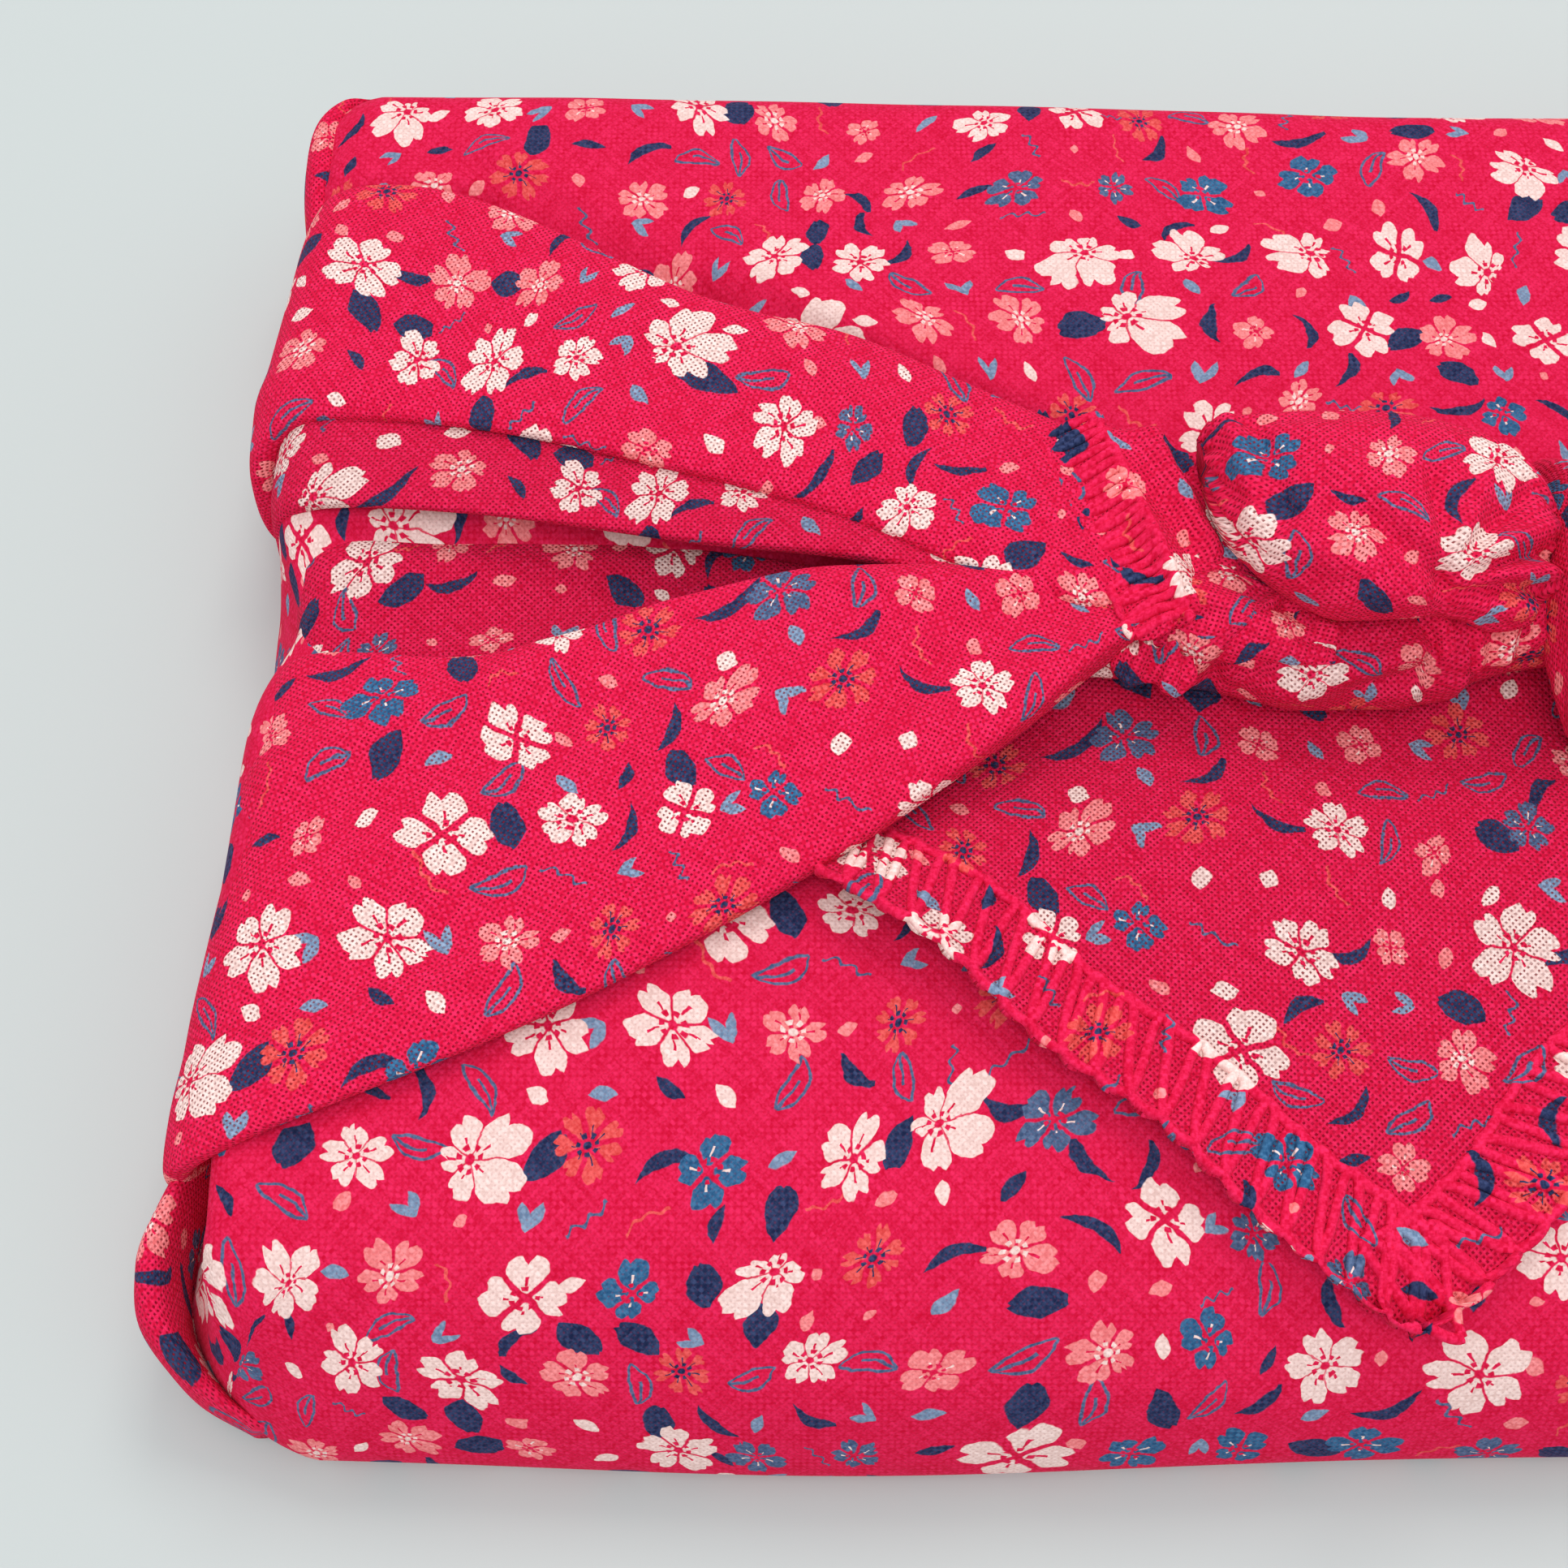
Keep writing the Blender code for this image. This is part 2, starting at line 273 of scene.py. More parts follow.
SmallKind = namedtuple("SmallKind", "upto length width bend wave fork line ink")
SMALL = (
    SmallKind(0.15, 2.05, 1.12, 0.08, 0.00, 0.06, 0, "navy"),
    SmallKind(0.27, 2.35, 0.52, 0.42, 0.00, 0.00, 0, "navy"),
    SmallKind(0.34, 1.30, 0.50, 0.15, 0.00, 0.00, 0, "navy"),
    SmallKind(0.46, 2.10, 0.80, 0.22, 0.00, 0.00, 1, "slate"),
    SmallKind(0.55, 0.95, 0.42, 0.00, 0.00, 0.42, 0, "pale"),
    SmallKind(0.62, 1.10, 0.52, 0.10, 0.00, 0.00, 0, "pale"),
    SmallKind(0.71, 1.60, 0.00, 0.10, 0.24, 0.00, 1, "slate"),
    SmallKind(0.80, 0.95, 0.62, 0.00, 0.00, 0.00, 0, "white"),
    SmallKind(0.88, 0.85, 0.55, 0.00, 0.00, 0.00, 0, "coral"),
    SmallKind(0.95, 1.60, 0.00, 0.30, 0.14, 0.00, 1, "orange"),
    SmallKind(1.00, 0.50, 0.38, 0.00, 0.00, 0.00, 0, "coral"),
)


def chart(tree, place, kinds, colours):
    """A ramp with a constant step for each kind; colours gives each kind's colour or numbers."""
    ramp = node(tree, "ShaderNodeValToRGB", place).node
    ramp.color_ramp.interpolation = "CONSTANT"
    steps = ramp.color_ramp.elements
    start = 0.0
    for i, kind in enumerate(kinds):
        step = steps[i] if i < 2 else steps.new(start)
        step.position = start
        step.color = colours(kind)
        start = kind.upto
    return ramp.outputs[0]


print(len(FLOWERS), "kinds of flower,", len(SMALL), "small motifs")

# %% [markdown]
# ## The printed pattern
# The cloth is divided into square cells, with every second row shifted by half a cell, as
# printers do to hide the rows. Each cell holds one flower, moved and turned at random. A second
# grid, twice as fine, holds a small motif wherever no flower stands. A flower is drawn in polar
# form: the angle counts its petals, and a curve gives how far each petal reaches. A leaf is
# drawn as a width that swells and shrinks along its length. Slow noise on the coordinates bends
# the rows, and finer noise gives the edges the unevenness of a hand-cut block.

# %% Draw the print
FLOWER_CELL = 8.7
FLOWER_JITTER = 2.4
FLOWER_SEED = 7.0
PETAL_SEED = 1.0
SMALL_CELL = FLOWER_CELL / 2
SMALL_JITTER = 1.1
SMALL_SEED = 3.0
EDGE = 0.06
SQUIGGLE_RATE = 5.2
MIDRIB_END = 0.25
LINE_OUTER = 0.17
LINE_INNER = 0.07
PICK_SHUFFLE = 37.0
PETAL_SHUFFLE = 9.0
FLOWER_LEAST = 0.68
FLOWER_SPREAD = 0.26
PETAL_SPREAD = 0.18
PETAL_ROUNDING = 2.8
PETAL_TAPER = 0.46
RAGGEDNESS = 0.03
TATTER_RATE = 17.0
NOTCH_HALF = 0.11
NOTCH_DEPTH = 1.6
GAP_SHARE = 0.7
HEART_RING = 0.245
HEART_BEADS = 7.0
STROKE_START = 0.28

Wobble = namedtuple("Wobble", "scale detail amount")
WOBBLES = (Wobble(0.045, 0.0, 8.0), Wobble(0.42, 3.0, 1.15))


def cell_of(tree, u, v, size, shift_rows):
    """Which cell a point is in, and where it is from that cell's middle."""
    row = maths(tree, "FLOOR", maths(tree, "DIVIDE", v, size))
    if shift_rows:
        odd = maths(tree, "FLOORED_MODULO", row, 2.0)
        u = maths(tree, "ADD", u, maths(tree, "MULTIPLY", odd, size / 2))
    column = maths(tree, "FLOOR", maths(tree, "DIVIDE", u, size))
    x = maths(tree, "SUBTRACT", u, maths(tree, "MULTIPLY_ADD", column, size, size / 2))
    y = maths(tree, "SUBTRACT", v, maths(tree, "MULTIPLY_ADD", row, size, size / 2))
    return column, row, x, y


def chances(tree, column, row, seed):
    """Three random numbers for a cell, and a fourth, the same each run."""
    cell = node(tree, "ShaderNodeCombineXYZ", column, row, seed)
    noise = node(tree, "ShaderNodeTexWhiteNoise", cell, noise_dimensions="3D").node
    a, b, c = parts_of(tree, noise.outputs["Color"])
    return a, b, c, noise.outputs["Value"]


def turned(tree, x, y, angle):
    """A point turned about the middle, by an angle from 0 to 1 for a whole turn."""
    radians = maths(tree, "MULTIPLY", angle, 2 * math.pi)
    cos, sin = maths(tree, "COSINE", radians), maths(tree, "SINE", radians)
    along = maths(tree, "MULTIPLY_ADD", x, cos, maths(tree, "MULTIPLY", y, sin))
    across = maths(tree, "SUBTRACT", maths(tree, "MULTIPLY", y, cos), maths(tree, "MULTIPLY", x, sin))
    return along, across


def small_motifs(tree, u, v, ground):
    """The fine grid of leaves, hearts, dots and squiggles over the ground."""
    shifted_u = maths(tree, "ADD", u, SMALL_CELL / 2)
    shifted_v = maths(tree, "ADD", v, SMALL_CELL / 2)
    column, row, x, y = cell_of(tree, shifted_u, shifted_v, SMALL_CELL, False)
    a, b, turn, pick = chances(tree, column, row, SMALL_SEED)
    x = maths(tree, "MULTIPLY_ADD", maths(tree, "SUBTRACT", a, 0.5), SMALL_JITTER, x)
    y = maths(tree, "MULTIPLY_ADD", maths(tree, "SUBTRACT", b, 0.5), SMALL_JITTER, y)
    x, y = turned(tree, x, y, turn)
    shape = chart(tree, pick, SMALL, lambda k: (k.length / LENGTH_SCALE, k.width, k.bend, 1))
    length, width, bend = parts_of(tree, shape)
    length = maths(tree, "MULTIPLY", length, LENGTH_SCALE)
    detail = chart(tree, pick, SMALL, lambda k: (k.wave, k.fork, k.line, 1))
    wave, fork, line = parts_of(tree, detail)
    ink = chart(tree, pick, SMALL, lambda k: INKS[k.ink])
    share = maths(tree, "DIVIDE", x, length)
    square = maths(tree, "MULTIPLY", share, share)
    bow = maths(tree, "MULTIPLY", bend, maths(tree, "MULTIPLY", square, length))
    y = maths(tree, "SUBTRACT", y, bow)
    squiggle = maths(tree, "SINE", maths(tree, "MULTIPLY", x, SQUIGGLE_RATE))
    y = maths(tree, "SUBTRACT", y, maths(tree, "MULTIPLY", squiggle, wave))
    y = maths(tree, "ABSOLUTE", y)
    spread = maths(tree, "MULTIPLY", maths(tree, "ADD", x, length), fork)
    y = maths(tree, "ABSOLUTE", maths(tree, "SUBTRACT", y, spread))
    swell = maths(tree, "MULTIPLY", width, maths(tree, "SUBTRACT", 1.0, square))
    inside = maths(tree, "SUBTRACT", swell, y)
    filled = soft_step(tree, inside, -EDGE, EDGE)
    outline = maths(tree, "ABSOLUTE", inside)
    midrib = maths(tree, "ADD", y, maths(tree, "GREATER_THAN", share, MIDRIB_END))
    drawn = soft_step(tree, maths(tree, "MINIMUM", outline, midrib), LINE_OUTER, LINE_INNER)
    within = soft_step(tree, maths(tree, "ABSOLUTE", share), 1.04, 0.96)
    mask = maths(tree, "MULTIPLY", within, over_number(tree, filled, drawn, line))
    odd_row = maths(tree, "FLOORED_MODULO", row, 2.0)
    pair = maths(tree, "FLOOR", maths(tree, "DIVIDE", row, 2.0))
    odd_place = maths(tree, "FLOORED_MODULO", maths(tree, "ADD", column, pair), 2.0)
    free = maths(tree, "SUBTRACT", 1.0, maths(tree, "MULTIPLY", odd_row, odd_place))
    return over(tree, ground, ink, maths(tree, "MULTIPLY", mask, free))


def flower_form(kind):
    """A flower's radius, petals and gap, divided to stay under 1 in a ramp."""
    return kind.radius / LENGTH_SCALE, kind.petals / COUNT_SCALE, kind.gap, 1


def flowers(tree, u, v, ground):
    """The coarse grid of flowers over the ground."""
    column, row, x, y = cell_of(tree, u, v, FLOWER_CELL, True)
    a, b, turn, pick = chances(tree, column, row, FLOWER_SEED)
    x = maths(tree, "MULTIPLY_ADD", maths(tree, "SUBTRACT", a, 0.5), FLOWER_JITTER, x)
    y = maths(tree, "MULTIPLY_ADD", maths(tree, "SUBTRACT", b, 0.5), FLOWER_JITTER, y)
    reach, petals, gap = parts_of(tree, chart(tree, pick, FLOWERS, flower_form))
    reach = maths(tree, "MULTIPLY", reach, LENGTH_SCALE)
    petals = maths(tree, "ROUND", maths(tree, "MULTIPLY", petals, COUNT_SCALE))
    offset = parts_of(tree, chart(tree, pick, FLOWERS, lambda k: (k.offset, 0, 0, 1)))[0]
    x, y = turned(tree, x, y, turn)
    x = maths(tree, "MULTIPLY_ADD", maths(tree, "MULTIPLY", offset, reach), 0.8, x)
    distance = maths(tree, "SQRT", maths(tree, "MULTIPLY_ADD", x, x, maths(tree, "MULTIPLY", y, y)))
    angle = maths(tree, "ARCTAN2", y, x)
    counted = maths(tree, "MULTIPLY", angle, maths(tree, "DIVIDE", petals, 2 * math.pi))
    petal = maths(tree, "FLOOR", counted)
    place = maths(tree, "SUBTRACT", maths(tree, "FRACT", counted), 0.5)
    sideways = maths(tree, "ABSOLUTE", place)
    petal_column = maths(tree, "MULTIPLY_ADD", column, PETAL_SHUFFLE, petal)
    own = chances(tree, petal_column, row, PETAL_SEED)[3]
    facing = maths(tree, "MULTIPLY", offset, maths(tree, "COSINE", angle))
    pick_again = maths(tree, "FRACT", maths(tree, "MULTIPLY", pick, PICK_SHUFFLE))
    size = maths(tree, "MULTIPLY_ADD", pick_again, FLOWER_SPREAD, FLOWER_LEAST)
    length = maths(tree, "MULTIPLY_ADD", own, PETAL_SPREAD, size)
    length = maths(tree, "MULTIPLY", maths(tree, "ADD", length, facing), reach)
    rounding = maths(tree, "POWER", maths(tree, "MULTIPLY", sideways, 2.0), PETAL_ROUNDING)
    tatters = maths(tree, "MULTIPLY_ADD", place, TATTER_RATE, maths(tree, "MULTIPLY", own, 6.0))
    ragged = maths(tree, "MULTIPLY_ADD", maths(tree, "SINE", tatters), RAGGEDNESS, 1.0)
    rim = maths(tree, "MULTIPLY_ADD", rounding, -PETAL_TAPER, ragged)
    middle = maths(tree, "MULTIPLY_ADD", own, 0.3, -0.15)
    to_middle = maths(tree, "ABSOLUTE", maths(tree, "SUBTRACT", place, middle))
    notch = maths(tree, "MAXIMUM", maths(tree, "SUBTRACT", NOTCH_HALF, to_middle), 0.0)
    rim = maths(tree, "MULTIPLY_ADD", notch, -NOTCH_DEPTH, rim)
    inside = maths(tree, "SUBTRACT", maths(tree, "MULTIPLY", length, rim), distance)
    arc = maths(tree, "DIVIDE", maths(tree, "MULTIPLY", distance, 2 * math.pi), petals)
    to_gap = maths(tree, "MULTIPLY", maths(tree, "SUBTRACT", 0.5, sideways), arc)
    past_gap = maths(tree, "SUBTRACT", to_gap, maths(tree, "MULTIPLY", gap, GAP_SHARE))
    petal_mask, gap_mask = (soft_step(tree, where, -EDGE, EDGE) for where in (inside, past_gap))
    petal_mask = maths(tree, "MULTIPLY", petal_mask, gap_mask)
    share = maths(tree, "DIVIDE", distance, reach)
    eye = soft_step(tree, share, 0.13, 0.09)
    off_ring = maths(tree, "ABSOLUTE", maths(tree, "SUBTRACT", share, HEART_RING))
    ring = soft_step(tree, off_ring, 0.075, 0.045)
    round_ring = maths(tree, "SINE", maths(tree, "MULTIPLY", angle, HEART_BEADS))
    beads = soft_step(tree, round_ring, -0.35, 0.05)
    heart = maths(tree, "MAXIMUM", eye, maths(tree, "MULTIPLY", ring, beads))
    comb = soft_step(tree, maths(tree, "COSINE", maths(tree, "MULTIPLY", place, 4 * math.pi)), 0.70, 0.92)
    far_end = maths(tree, "MULTIPLY_ADD", own, 0.22, 0.36)
    stroke = maths(tree, "MULTIPLY", soft_step(tree, share, STROKE_START, STROKE_START + 0.05), comb)
    stroke = maths(tree, "MULTIPLY", stroke, maths(tree, "LESS_THAN", share, far_end))
    colour = over(tree, ground, chart(tree, pick, FLOWERS, lambda k: INKS[k.petal]), petal_mask)
    inked = maths(tree, "MULTIPLY", stroke, petal_mask)
    colour = over(tree, colour, chart(tree, pick, FLOWERS, lambda k: INKS[k.stroke]), inked)
    return over(tree, colour, chart(tree, pick, FLOWERS, lambda k: INKS[k.heart]), heart)


def print_group():
    """The whole print: a colour for each point of the flat cloth."""
    inputs, outputs = [("Cloth", "NodeSocketVector", None)], [("Color", "NodeSocketColor")]
    tree, start, end = group("floral_print", inputs, outputs)
    place = vectors(tree, "SCALE", start.outputs["Cloth"])
    place.node.inputs["Scale"].default_value = 1 / MM
    for wobble in WOBBLES:
        noise = node(tree, "ShaderNodeTexNoise", place).node
        noise.inputs["Scale"].default_value = wobble.scale
        noise.inputs["Detail"].default_value = wobble.detail
        moved = vectors(tree, "SCALE", vectors(tree, "SUBTRACT", noise.outputs["Color"], (0.5, 0.5, 0.5)))
        moved.node.inputs["Scale"].default_value = wobble.amount
        place = vectors(tree, "ADD", place, moved)
    u, v = parts_of(tree, place)[:2]
    ground = small_motifs(tree, u, v, INKS["crimson"])
    tree.links.new(flowers(tree, u, v, ground), end.inputs["Color"])
    return tree


floral = print_group()
print("the print takes", len(floral.nodes), "nodes")

# %% [markdown]
# ## The weave
# The cotton is a plain weave with about 27 yarns to the centimetre, open enough to show a dark
# pin-hole between every four yarns. The yarns lie along the cloth's edges, so on the parcel they
# run slantwise. Each set of yarns is a cosine: the larger of the two is high on the yarns and
# low in the holes, and the sign of their product tells which yarn is on top. Slow noise lets the
# yarns wander, and noise stretched along each set of them makes some paler and closes some of
# the holes. The group gives the holes, the height and the fuzz, which is how pale each spot of
# yarn is.

# %% Draw the weave
YARN_SPACING = 0.37
YARN_DRIFT = 0.85
ALONG_YARN = 0.13
HOLE_LEAST = 0.25
UNDER_DEPTH = 0.22
FIBRE_SHARE = 0.35
REGULAR_SHARE = 0.22


def weave_group():
    """The weave: its holes, its height and its fuzz at each point of the yarns' map."""
    inputs = [("Yarns", "NodeSocketVector", None), ("Openness", "NodeSocketFloat", 0.5)]
    outputs = [("Holes", "NodeSocketFloat"), ("Height", "NodeSocketFloat"), ("Fuzz", "NodeSocketFloat")]
    tree, start, end = group("plain_weave", inputs, outputs)
    place = vectors(tree, "SCALE", start.outputs["Yarns"])
    place.node.inputs["Scale"].default_value = 1 / (YARN_SPACING * MM)
    slub = node(tree, "ShaderNodeTexNoise", place).node
    slub.inputs["Scale"].default_value = 0.35
    slub.inputs["Detail"].default_value = 2.0
    drift = vectors(tree, "SCALE", vectors(tree, "SUBTRACT", slub.outputs["Color"], (0.5, 0.5, 0.5)))
    drift.node.inputs["Scale"].default_value = YARN_DRIFT
    a, b = parts_of(tree, vectors(tree, "ADD", place, drift))[:2]
    streaks = []
    for stretch in ((1.0, ALONG_YARN, 1.0), (ALONG_YARN, 1.0, 1.0)):
        yarn = node(tree, "ShaderNodeTexNoise", vectors(tree, "MULTIPLY", place, stretch)).node
        yarn.inputs["Scale"].default_value = 0.95
        yarn.inputs["Detail"].default_value = 2.0
        streaks.append(yarn.outputs["Fac"])
    warp = maths(tree, "COSINE", maths(tree, "MULTIPLY", a, math.pi))
    weft = maths(tree, "COSINE", maths(tree, "MULTIPLY", b, math.pi))
    over_under = maths(tree, "MULTIPLY", warp, weft)
    yarns = maths(tree, "MAXIMUM", maths(tree, "ABSOLUTE", warp), maths(tree, "ABSOLUTE", weft))
    hole = soft_step(tree, yarns, 0.74, 0.36)
    vary = soft_step(tree, streaks[0], 0.34, 0.62)
    hole = maths(tree, "MULTIPLY", hole, maths(tree, "MULTIPLY_ADD", vary, 1 - HOLE_LEAST, HOLE_LEAST))
    hole = maths(tree, "MULTIPLY", hole, start.outputs["Openness"])
    height = maths(tree, "MULTIPLY_ADD", over_under, UNDER_DEPTH, yarns)
    height = maths(tree, "SUBTRACT", height, hole)
    fibres = node(tree, "ShaderNodeTexNoise", place).node
    fibres.inputs["Scale"].default_value = 1.9
    fibres.inputs["Detail"].default_value = 3.0
    weft_up = soft_step(tree, over_under, -0.25, 0.25)
    streak = over_number(tree, streaks[0], streaks[1], weft_up)
    fuzz = over_number(tree, streak, fibres.outputs["Fac"], FIBRE_SHARE)
    regular = maths(tree, "MULTIPLY_ADD", over_under, 0.20, 0.5)
    fuzz = over_number(tree, fuzz, regular, REGULAR_SHARE)
    tree.links.new(hole, end.inputs["Holes"])
    tree.links.new(height, end.inputs["Height"])
    tree.links.new(fuzz, end.inputs["Fuzz"])
    return tree


weave = weave_group()
print("the weave takes", len(weave.nodes), "nodes")

# %% [markdown]
# ## Three tensions of one cotton, painted lit and shaded
# Where the cloth is pulled flat over the box its holes nearly close and its colour evens out, and
# where it hangs free or is gathered they open. The gathers' cotton is painted brighter, a painted
# highlight on the raised folds. The folds in the shade take a copy as open as the gathers but
# painted darker, painted shade, and the flap is cut from that darker copy too. All are the same
# print and weave with another openness, relief, tone, which is how bright the colour is, and
# unevenness, which is how much the tone differs from fibre to fibre. Where the fibres are thin
# the ink is not just darker but purer, as a power of the colour gives it. The finish constants
# sit on the shader itself, and only what varies over the cloth is linked.

# %% Make the cotton
PURER_POWER = 1.4
HOLE_DARKNESS = 0.92
YARN_RELIEF = 0.12
FINISH = {
    "Roughness": 0.88,
    "Specular IOR Level": 0.04,
    "Sheen Weight": 0.08,
    "Sheen Roughness": 0.3,
    "Sheen Tint": (1.0, 0.30, 0.42, 1),
}


def cotton(name, openness, relief, tone, unevenness=0.16):
    """Printed cotton: the print, darkened in the holes and where the fibres are thin."""
    material = bpy.data.materials.new(name)
    material.use_nodes = True
    tree = material.node_tree
    shader = tree.nodes["Principled BSDF"]
    for label, value in FINISH.items():
        shader.inputs[label].default_value = value
    flat = node(tree, "ShaderNodeUVMap", uv_map="cloth")
    ink = node(tree, "ShaderNodeGroup", node_tree=floral)
    tree.links.new(flat, ink.node.inputs["Cloth"])
    yarns = node(tree, "ShaderNodeUVMap", uv_map="weave")
    cloth = node(tree, "ShaderNodeGroup", node_tree=weave).node
    tree.links.new(yarns, cloth.inputs["Yarns"])
    cloth.inputs["Openness"].default_value = openness
    pale = soft_step(tree, cloth.outputs["Fuzz"], 0.34, 0.66)
    shares = (1 - unevenness, 1 + 0.8 * unevenness)
    dark, light = ((tone * share, tone * share, tone * share, 1) for share in shares)
    shade = over(tree, dark, light, pale)
    purer = node(tree, "ShaderNodeGamma", ink, PURER_POWER)
    body = over(tree, purer, ink, pale)
    colour = node(tree, "ShaderNodeMix", data_type="RGBA", blend_type="MULTIPLY").node
    colour.inputs[0].default_value = 1.0
    tree.links.new(body, colour.inputs[6])
    tree.links.new(shade, colour.inputs[7])
    holes = maths(tree, "MULTIPLY", cloth.outputs["Holes"], HOLE_DARKNESS)
    holed = over(tree, colour.outputs[2], INKS["deep"], holes)
    tree.links.new(holed, shader.inputs["Base Color"])
    bump = tree.nodes.new("ShaderNodeBump")
    bump.inputs["Strength"].default_value = relief
    bump.inputs["Distance"].default_value = YARN_RELIEF * MM
    tree.links.new(cloth.outputs["Height"], bump.inputs["Height"])
    tree.links.new(bump.outputs["Normal"], shader.inputs["Normal"])
    return material


taut_cotton = cotton("cotton_taut", 0.24, 0.36, 0.96, 0.12)
# Painted brighter: a painted highlight on the raised folds and the knot.
lit_open_cotton = cotton("cotton_open", 1.0, 0.8, 1.10)
# Painted darker: painted shade on the folds in the shade; the flap is cut from it too.
shaded_slack_cotton = cotton("cotton_slack", 1.0, 0.85, 0.97)
print("three cottons")

# %% [markdown]
# ## Creases
# Cloth is never smooth. A crease here is a line on the plan with a height and a reach: a
# positive height is a soft ridge, and a negative one a trough. Most pieces get a short table of
# the creases seen on them, and one function tells how far these lift the surface at each point.
# A crease fades out past its ends.

# %% Lift creases
Crease = namedtuple("Crease", "x1 y1 x2 y2 height reach")
END_REACH = 1.6


def crease_height(x, y, creases):
    """How far the creases lift the surface at each point."""
    lift = np.zeros_like(x)
    for c in creases:
        run = np.array([c.x2 - c.x1, c.y2 - c.y1])
        size = math.hypot(*run)
        along = ((x - c.x1) * run[0] + (y - c.y1) * run[1]) / size**2
        across = ((x - c.x1) * run[1] - (y - c.y1) * run[0]) / size
        past_end = np.clip(along, 0, 1) - along
        ends = np.exp(-((past_end * size / (END_REACH * c.reach)) ** 2))
        lift += c.height * ends * np.exp(-((across / c.reach) ** 2))
    return lift


def grid_normals(points):
    """A unit normal for each point of a grid of points."""
    down = np.gradient(points, axis=0)
    across = np.gradient(points, axis=1)
    normals = np.cross(across, down)
    return normals / np.maximum(np.linalg.norm(normals, axis=2, keepdims=True), 1e-9)


def ripple(x, y, size, seed):
    """A slow unevenness between -1 and 1, the same each run."""
    phases = np.random.default_rng(seed).uniform(0, 6.28, 6)
    a = np.sin(x / size + phases[0]) * np.cos(y / (0.8 * size) + phases[1])
    b = np.sin((x + y) / (0.6 * size) + phases[2]) * np.cos((x - y) / (0.9 * size) + phases[3])
    return 0.6 * a + 0.4 * b


print("creases ready")

# %% [markdown]
# ## From a grid to a piece of cloth
# Every piece but the stitches is a grid of points. One builder makes the mesh, gives it two maps of the flat
# cloth, one for the print and one turned to the yarns, and shades it smooth. The maps are in
# metres, so the print keeps its size on every piece.

# %% Build pieces from grids
YARN_TURN = 45.0


def cloth_object(name, points, maps, material, closed=False, yarn_turn=YARN_TURN):
    """A piece from a grid of points and its flat map, both in millimetres. A closed piece runs
    round its columns, and its map has one column more than its points."""
    rows, columns = points.shape[:2]
    spans = columns if closed else columns - 1
    faces, corners = [], []
    for i in range(rows - 1):
        for j in range(spans):
            k = (j + 1) % columns
            faces.append((i * columns + j, i * columns + k, (i + 1) * columns + k, (i + 1) * columns + j))
            corners += [(i, j), (i, j + 1), (i + 1, j + 1), (i + 1, j)]
    if closed:
        faces.append(tuple(reversed(range(columns))))
        corners += [(0, j) for j in reversed(range(columns))]
        faces.append(tuple((rows - 1) * columns + j for j in range(columns)))
        corners += [(rows - 1, j) for j in range(columns)]
    mesh = bpy.data.meshes.new(name)
    mesh.from_pydata((points.reshape(-1, 3) * MM).tolist(), [], faces)
    flat = np.array([maps[i, j] for i, j in corners]) * MM
    turn = math.radians(yarn_turn)
    yarns = flat @ np.array([[math.cos(turn), math.sin(turn)], [-math.sin(turn), math.cos(turn)]])
    mesh.uv_layers.new(name="cloth").data.foreach_set("uv", flat.ravel())
    mesh.uv_layers.new(name="weave").data.foreach_set("uv", yarns.ravel())
    mesh.materials.append(material)
    piece = bpy.data.objects.new(name, mesh)
    bpy.context.scene.collection.objects.link(piece)
    shape = bmesh.new()
    shape.from_mesh(mesh)
    bmesh.ops.recalc_face_normals(shape, faces=shape.faces)
    shape.to_mesh(mesh)
    shape.free()
    mesh.shade_smooth()
    return piece


print("builder ready")

# %% [markdown]
# ## The parcel's skin
# Under the folds the cloth lies close on the box: flat below, rounded at its edges, a little
# swollen and drawn in along its sides. It is one closed surface made of rings of the same
# outline, from the floor up and over to the middle of the top, where the knot will hide the
# last ring. The near side has a table of rings of its own, because it is rounder. The top is a
# little hollow where the knot and the lower pleat press on it, and it sinks in troughs beside
# the pleats, under the valley and in the pocket at the near left corner.

# %% Make the skin
HALF_LENGTH = 109.5
HALF_WIDTH = 59.5
OUTLINE_POINTS = 660
RIM_RINGS = 34
MIDDLE_RINGS = 92
LAST_RING = 0.985
CORNER_FLATNESS = 0.45
CORNER_BLEND = 16
NEAR_BLEND = 20
CREASED_ABOVE = 6
CREASED_OVER = 8
SKIN_RIPPLE = 0.12

Corner = namedtuple("Corner", "x y cut")
CORNERS = (
    Corner(-109.6, -59.3, 10.0),
    Corner(109.3, -59.2, 9.0),
    Corner(108.2, 60.0, 5.5),
    Corner(-107.8, 61.6, 4.0),
)
Bulge = namedtuple("Bulge", "x y out reach")
BULGES = (
    Bulge(-108, 9.0, 0.3, 7.0),
    Bulge(-109, -30.0, 0.6, 9.0),
    Bulge(-60, -59.5, 1.4, 30.0),
    Bulge(0, 58.0, -1.8, 46.0),
    Bulge(108, -20.0, 1.4, 12.0),
    Bulge(108, 30.0, -1.0, 10.0),
    Bulge(50, -59.5, 1.0, 22.0),
)
Ring = namedtuple("Ring", "inset height")
RINGS = (
    Ring(2.6, 0.0),
    Ring(0.8, 1.2),
    Ring(0.0, 4.5),
    Ring(0.2, 11.0),
    Ring(0.8, 15.6),
    Ring(1.9, 18.3),
    Ring(3.8, 19.7),
    Ring(8.5, 20.2),
    Ring(24.0, 20.6),
    Ring(59.0, 20.9),
)
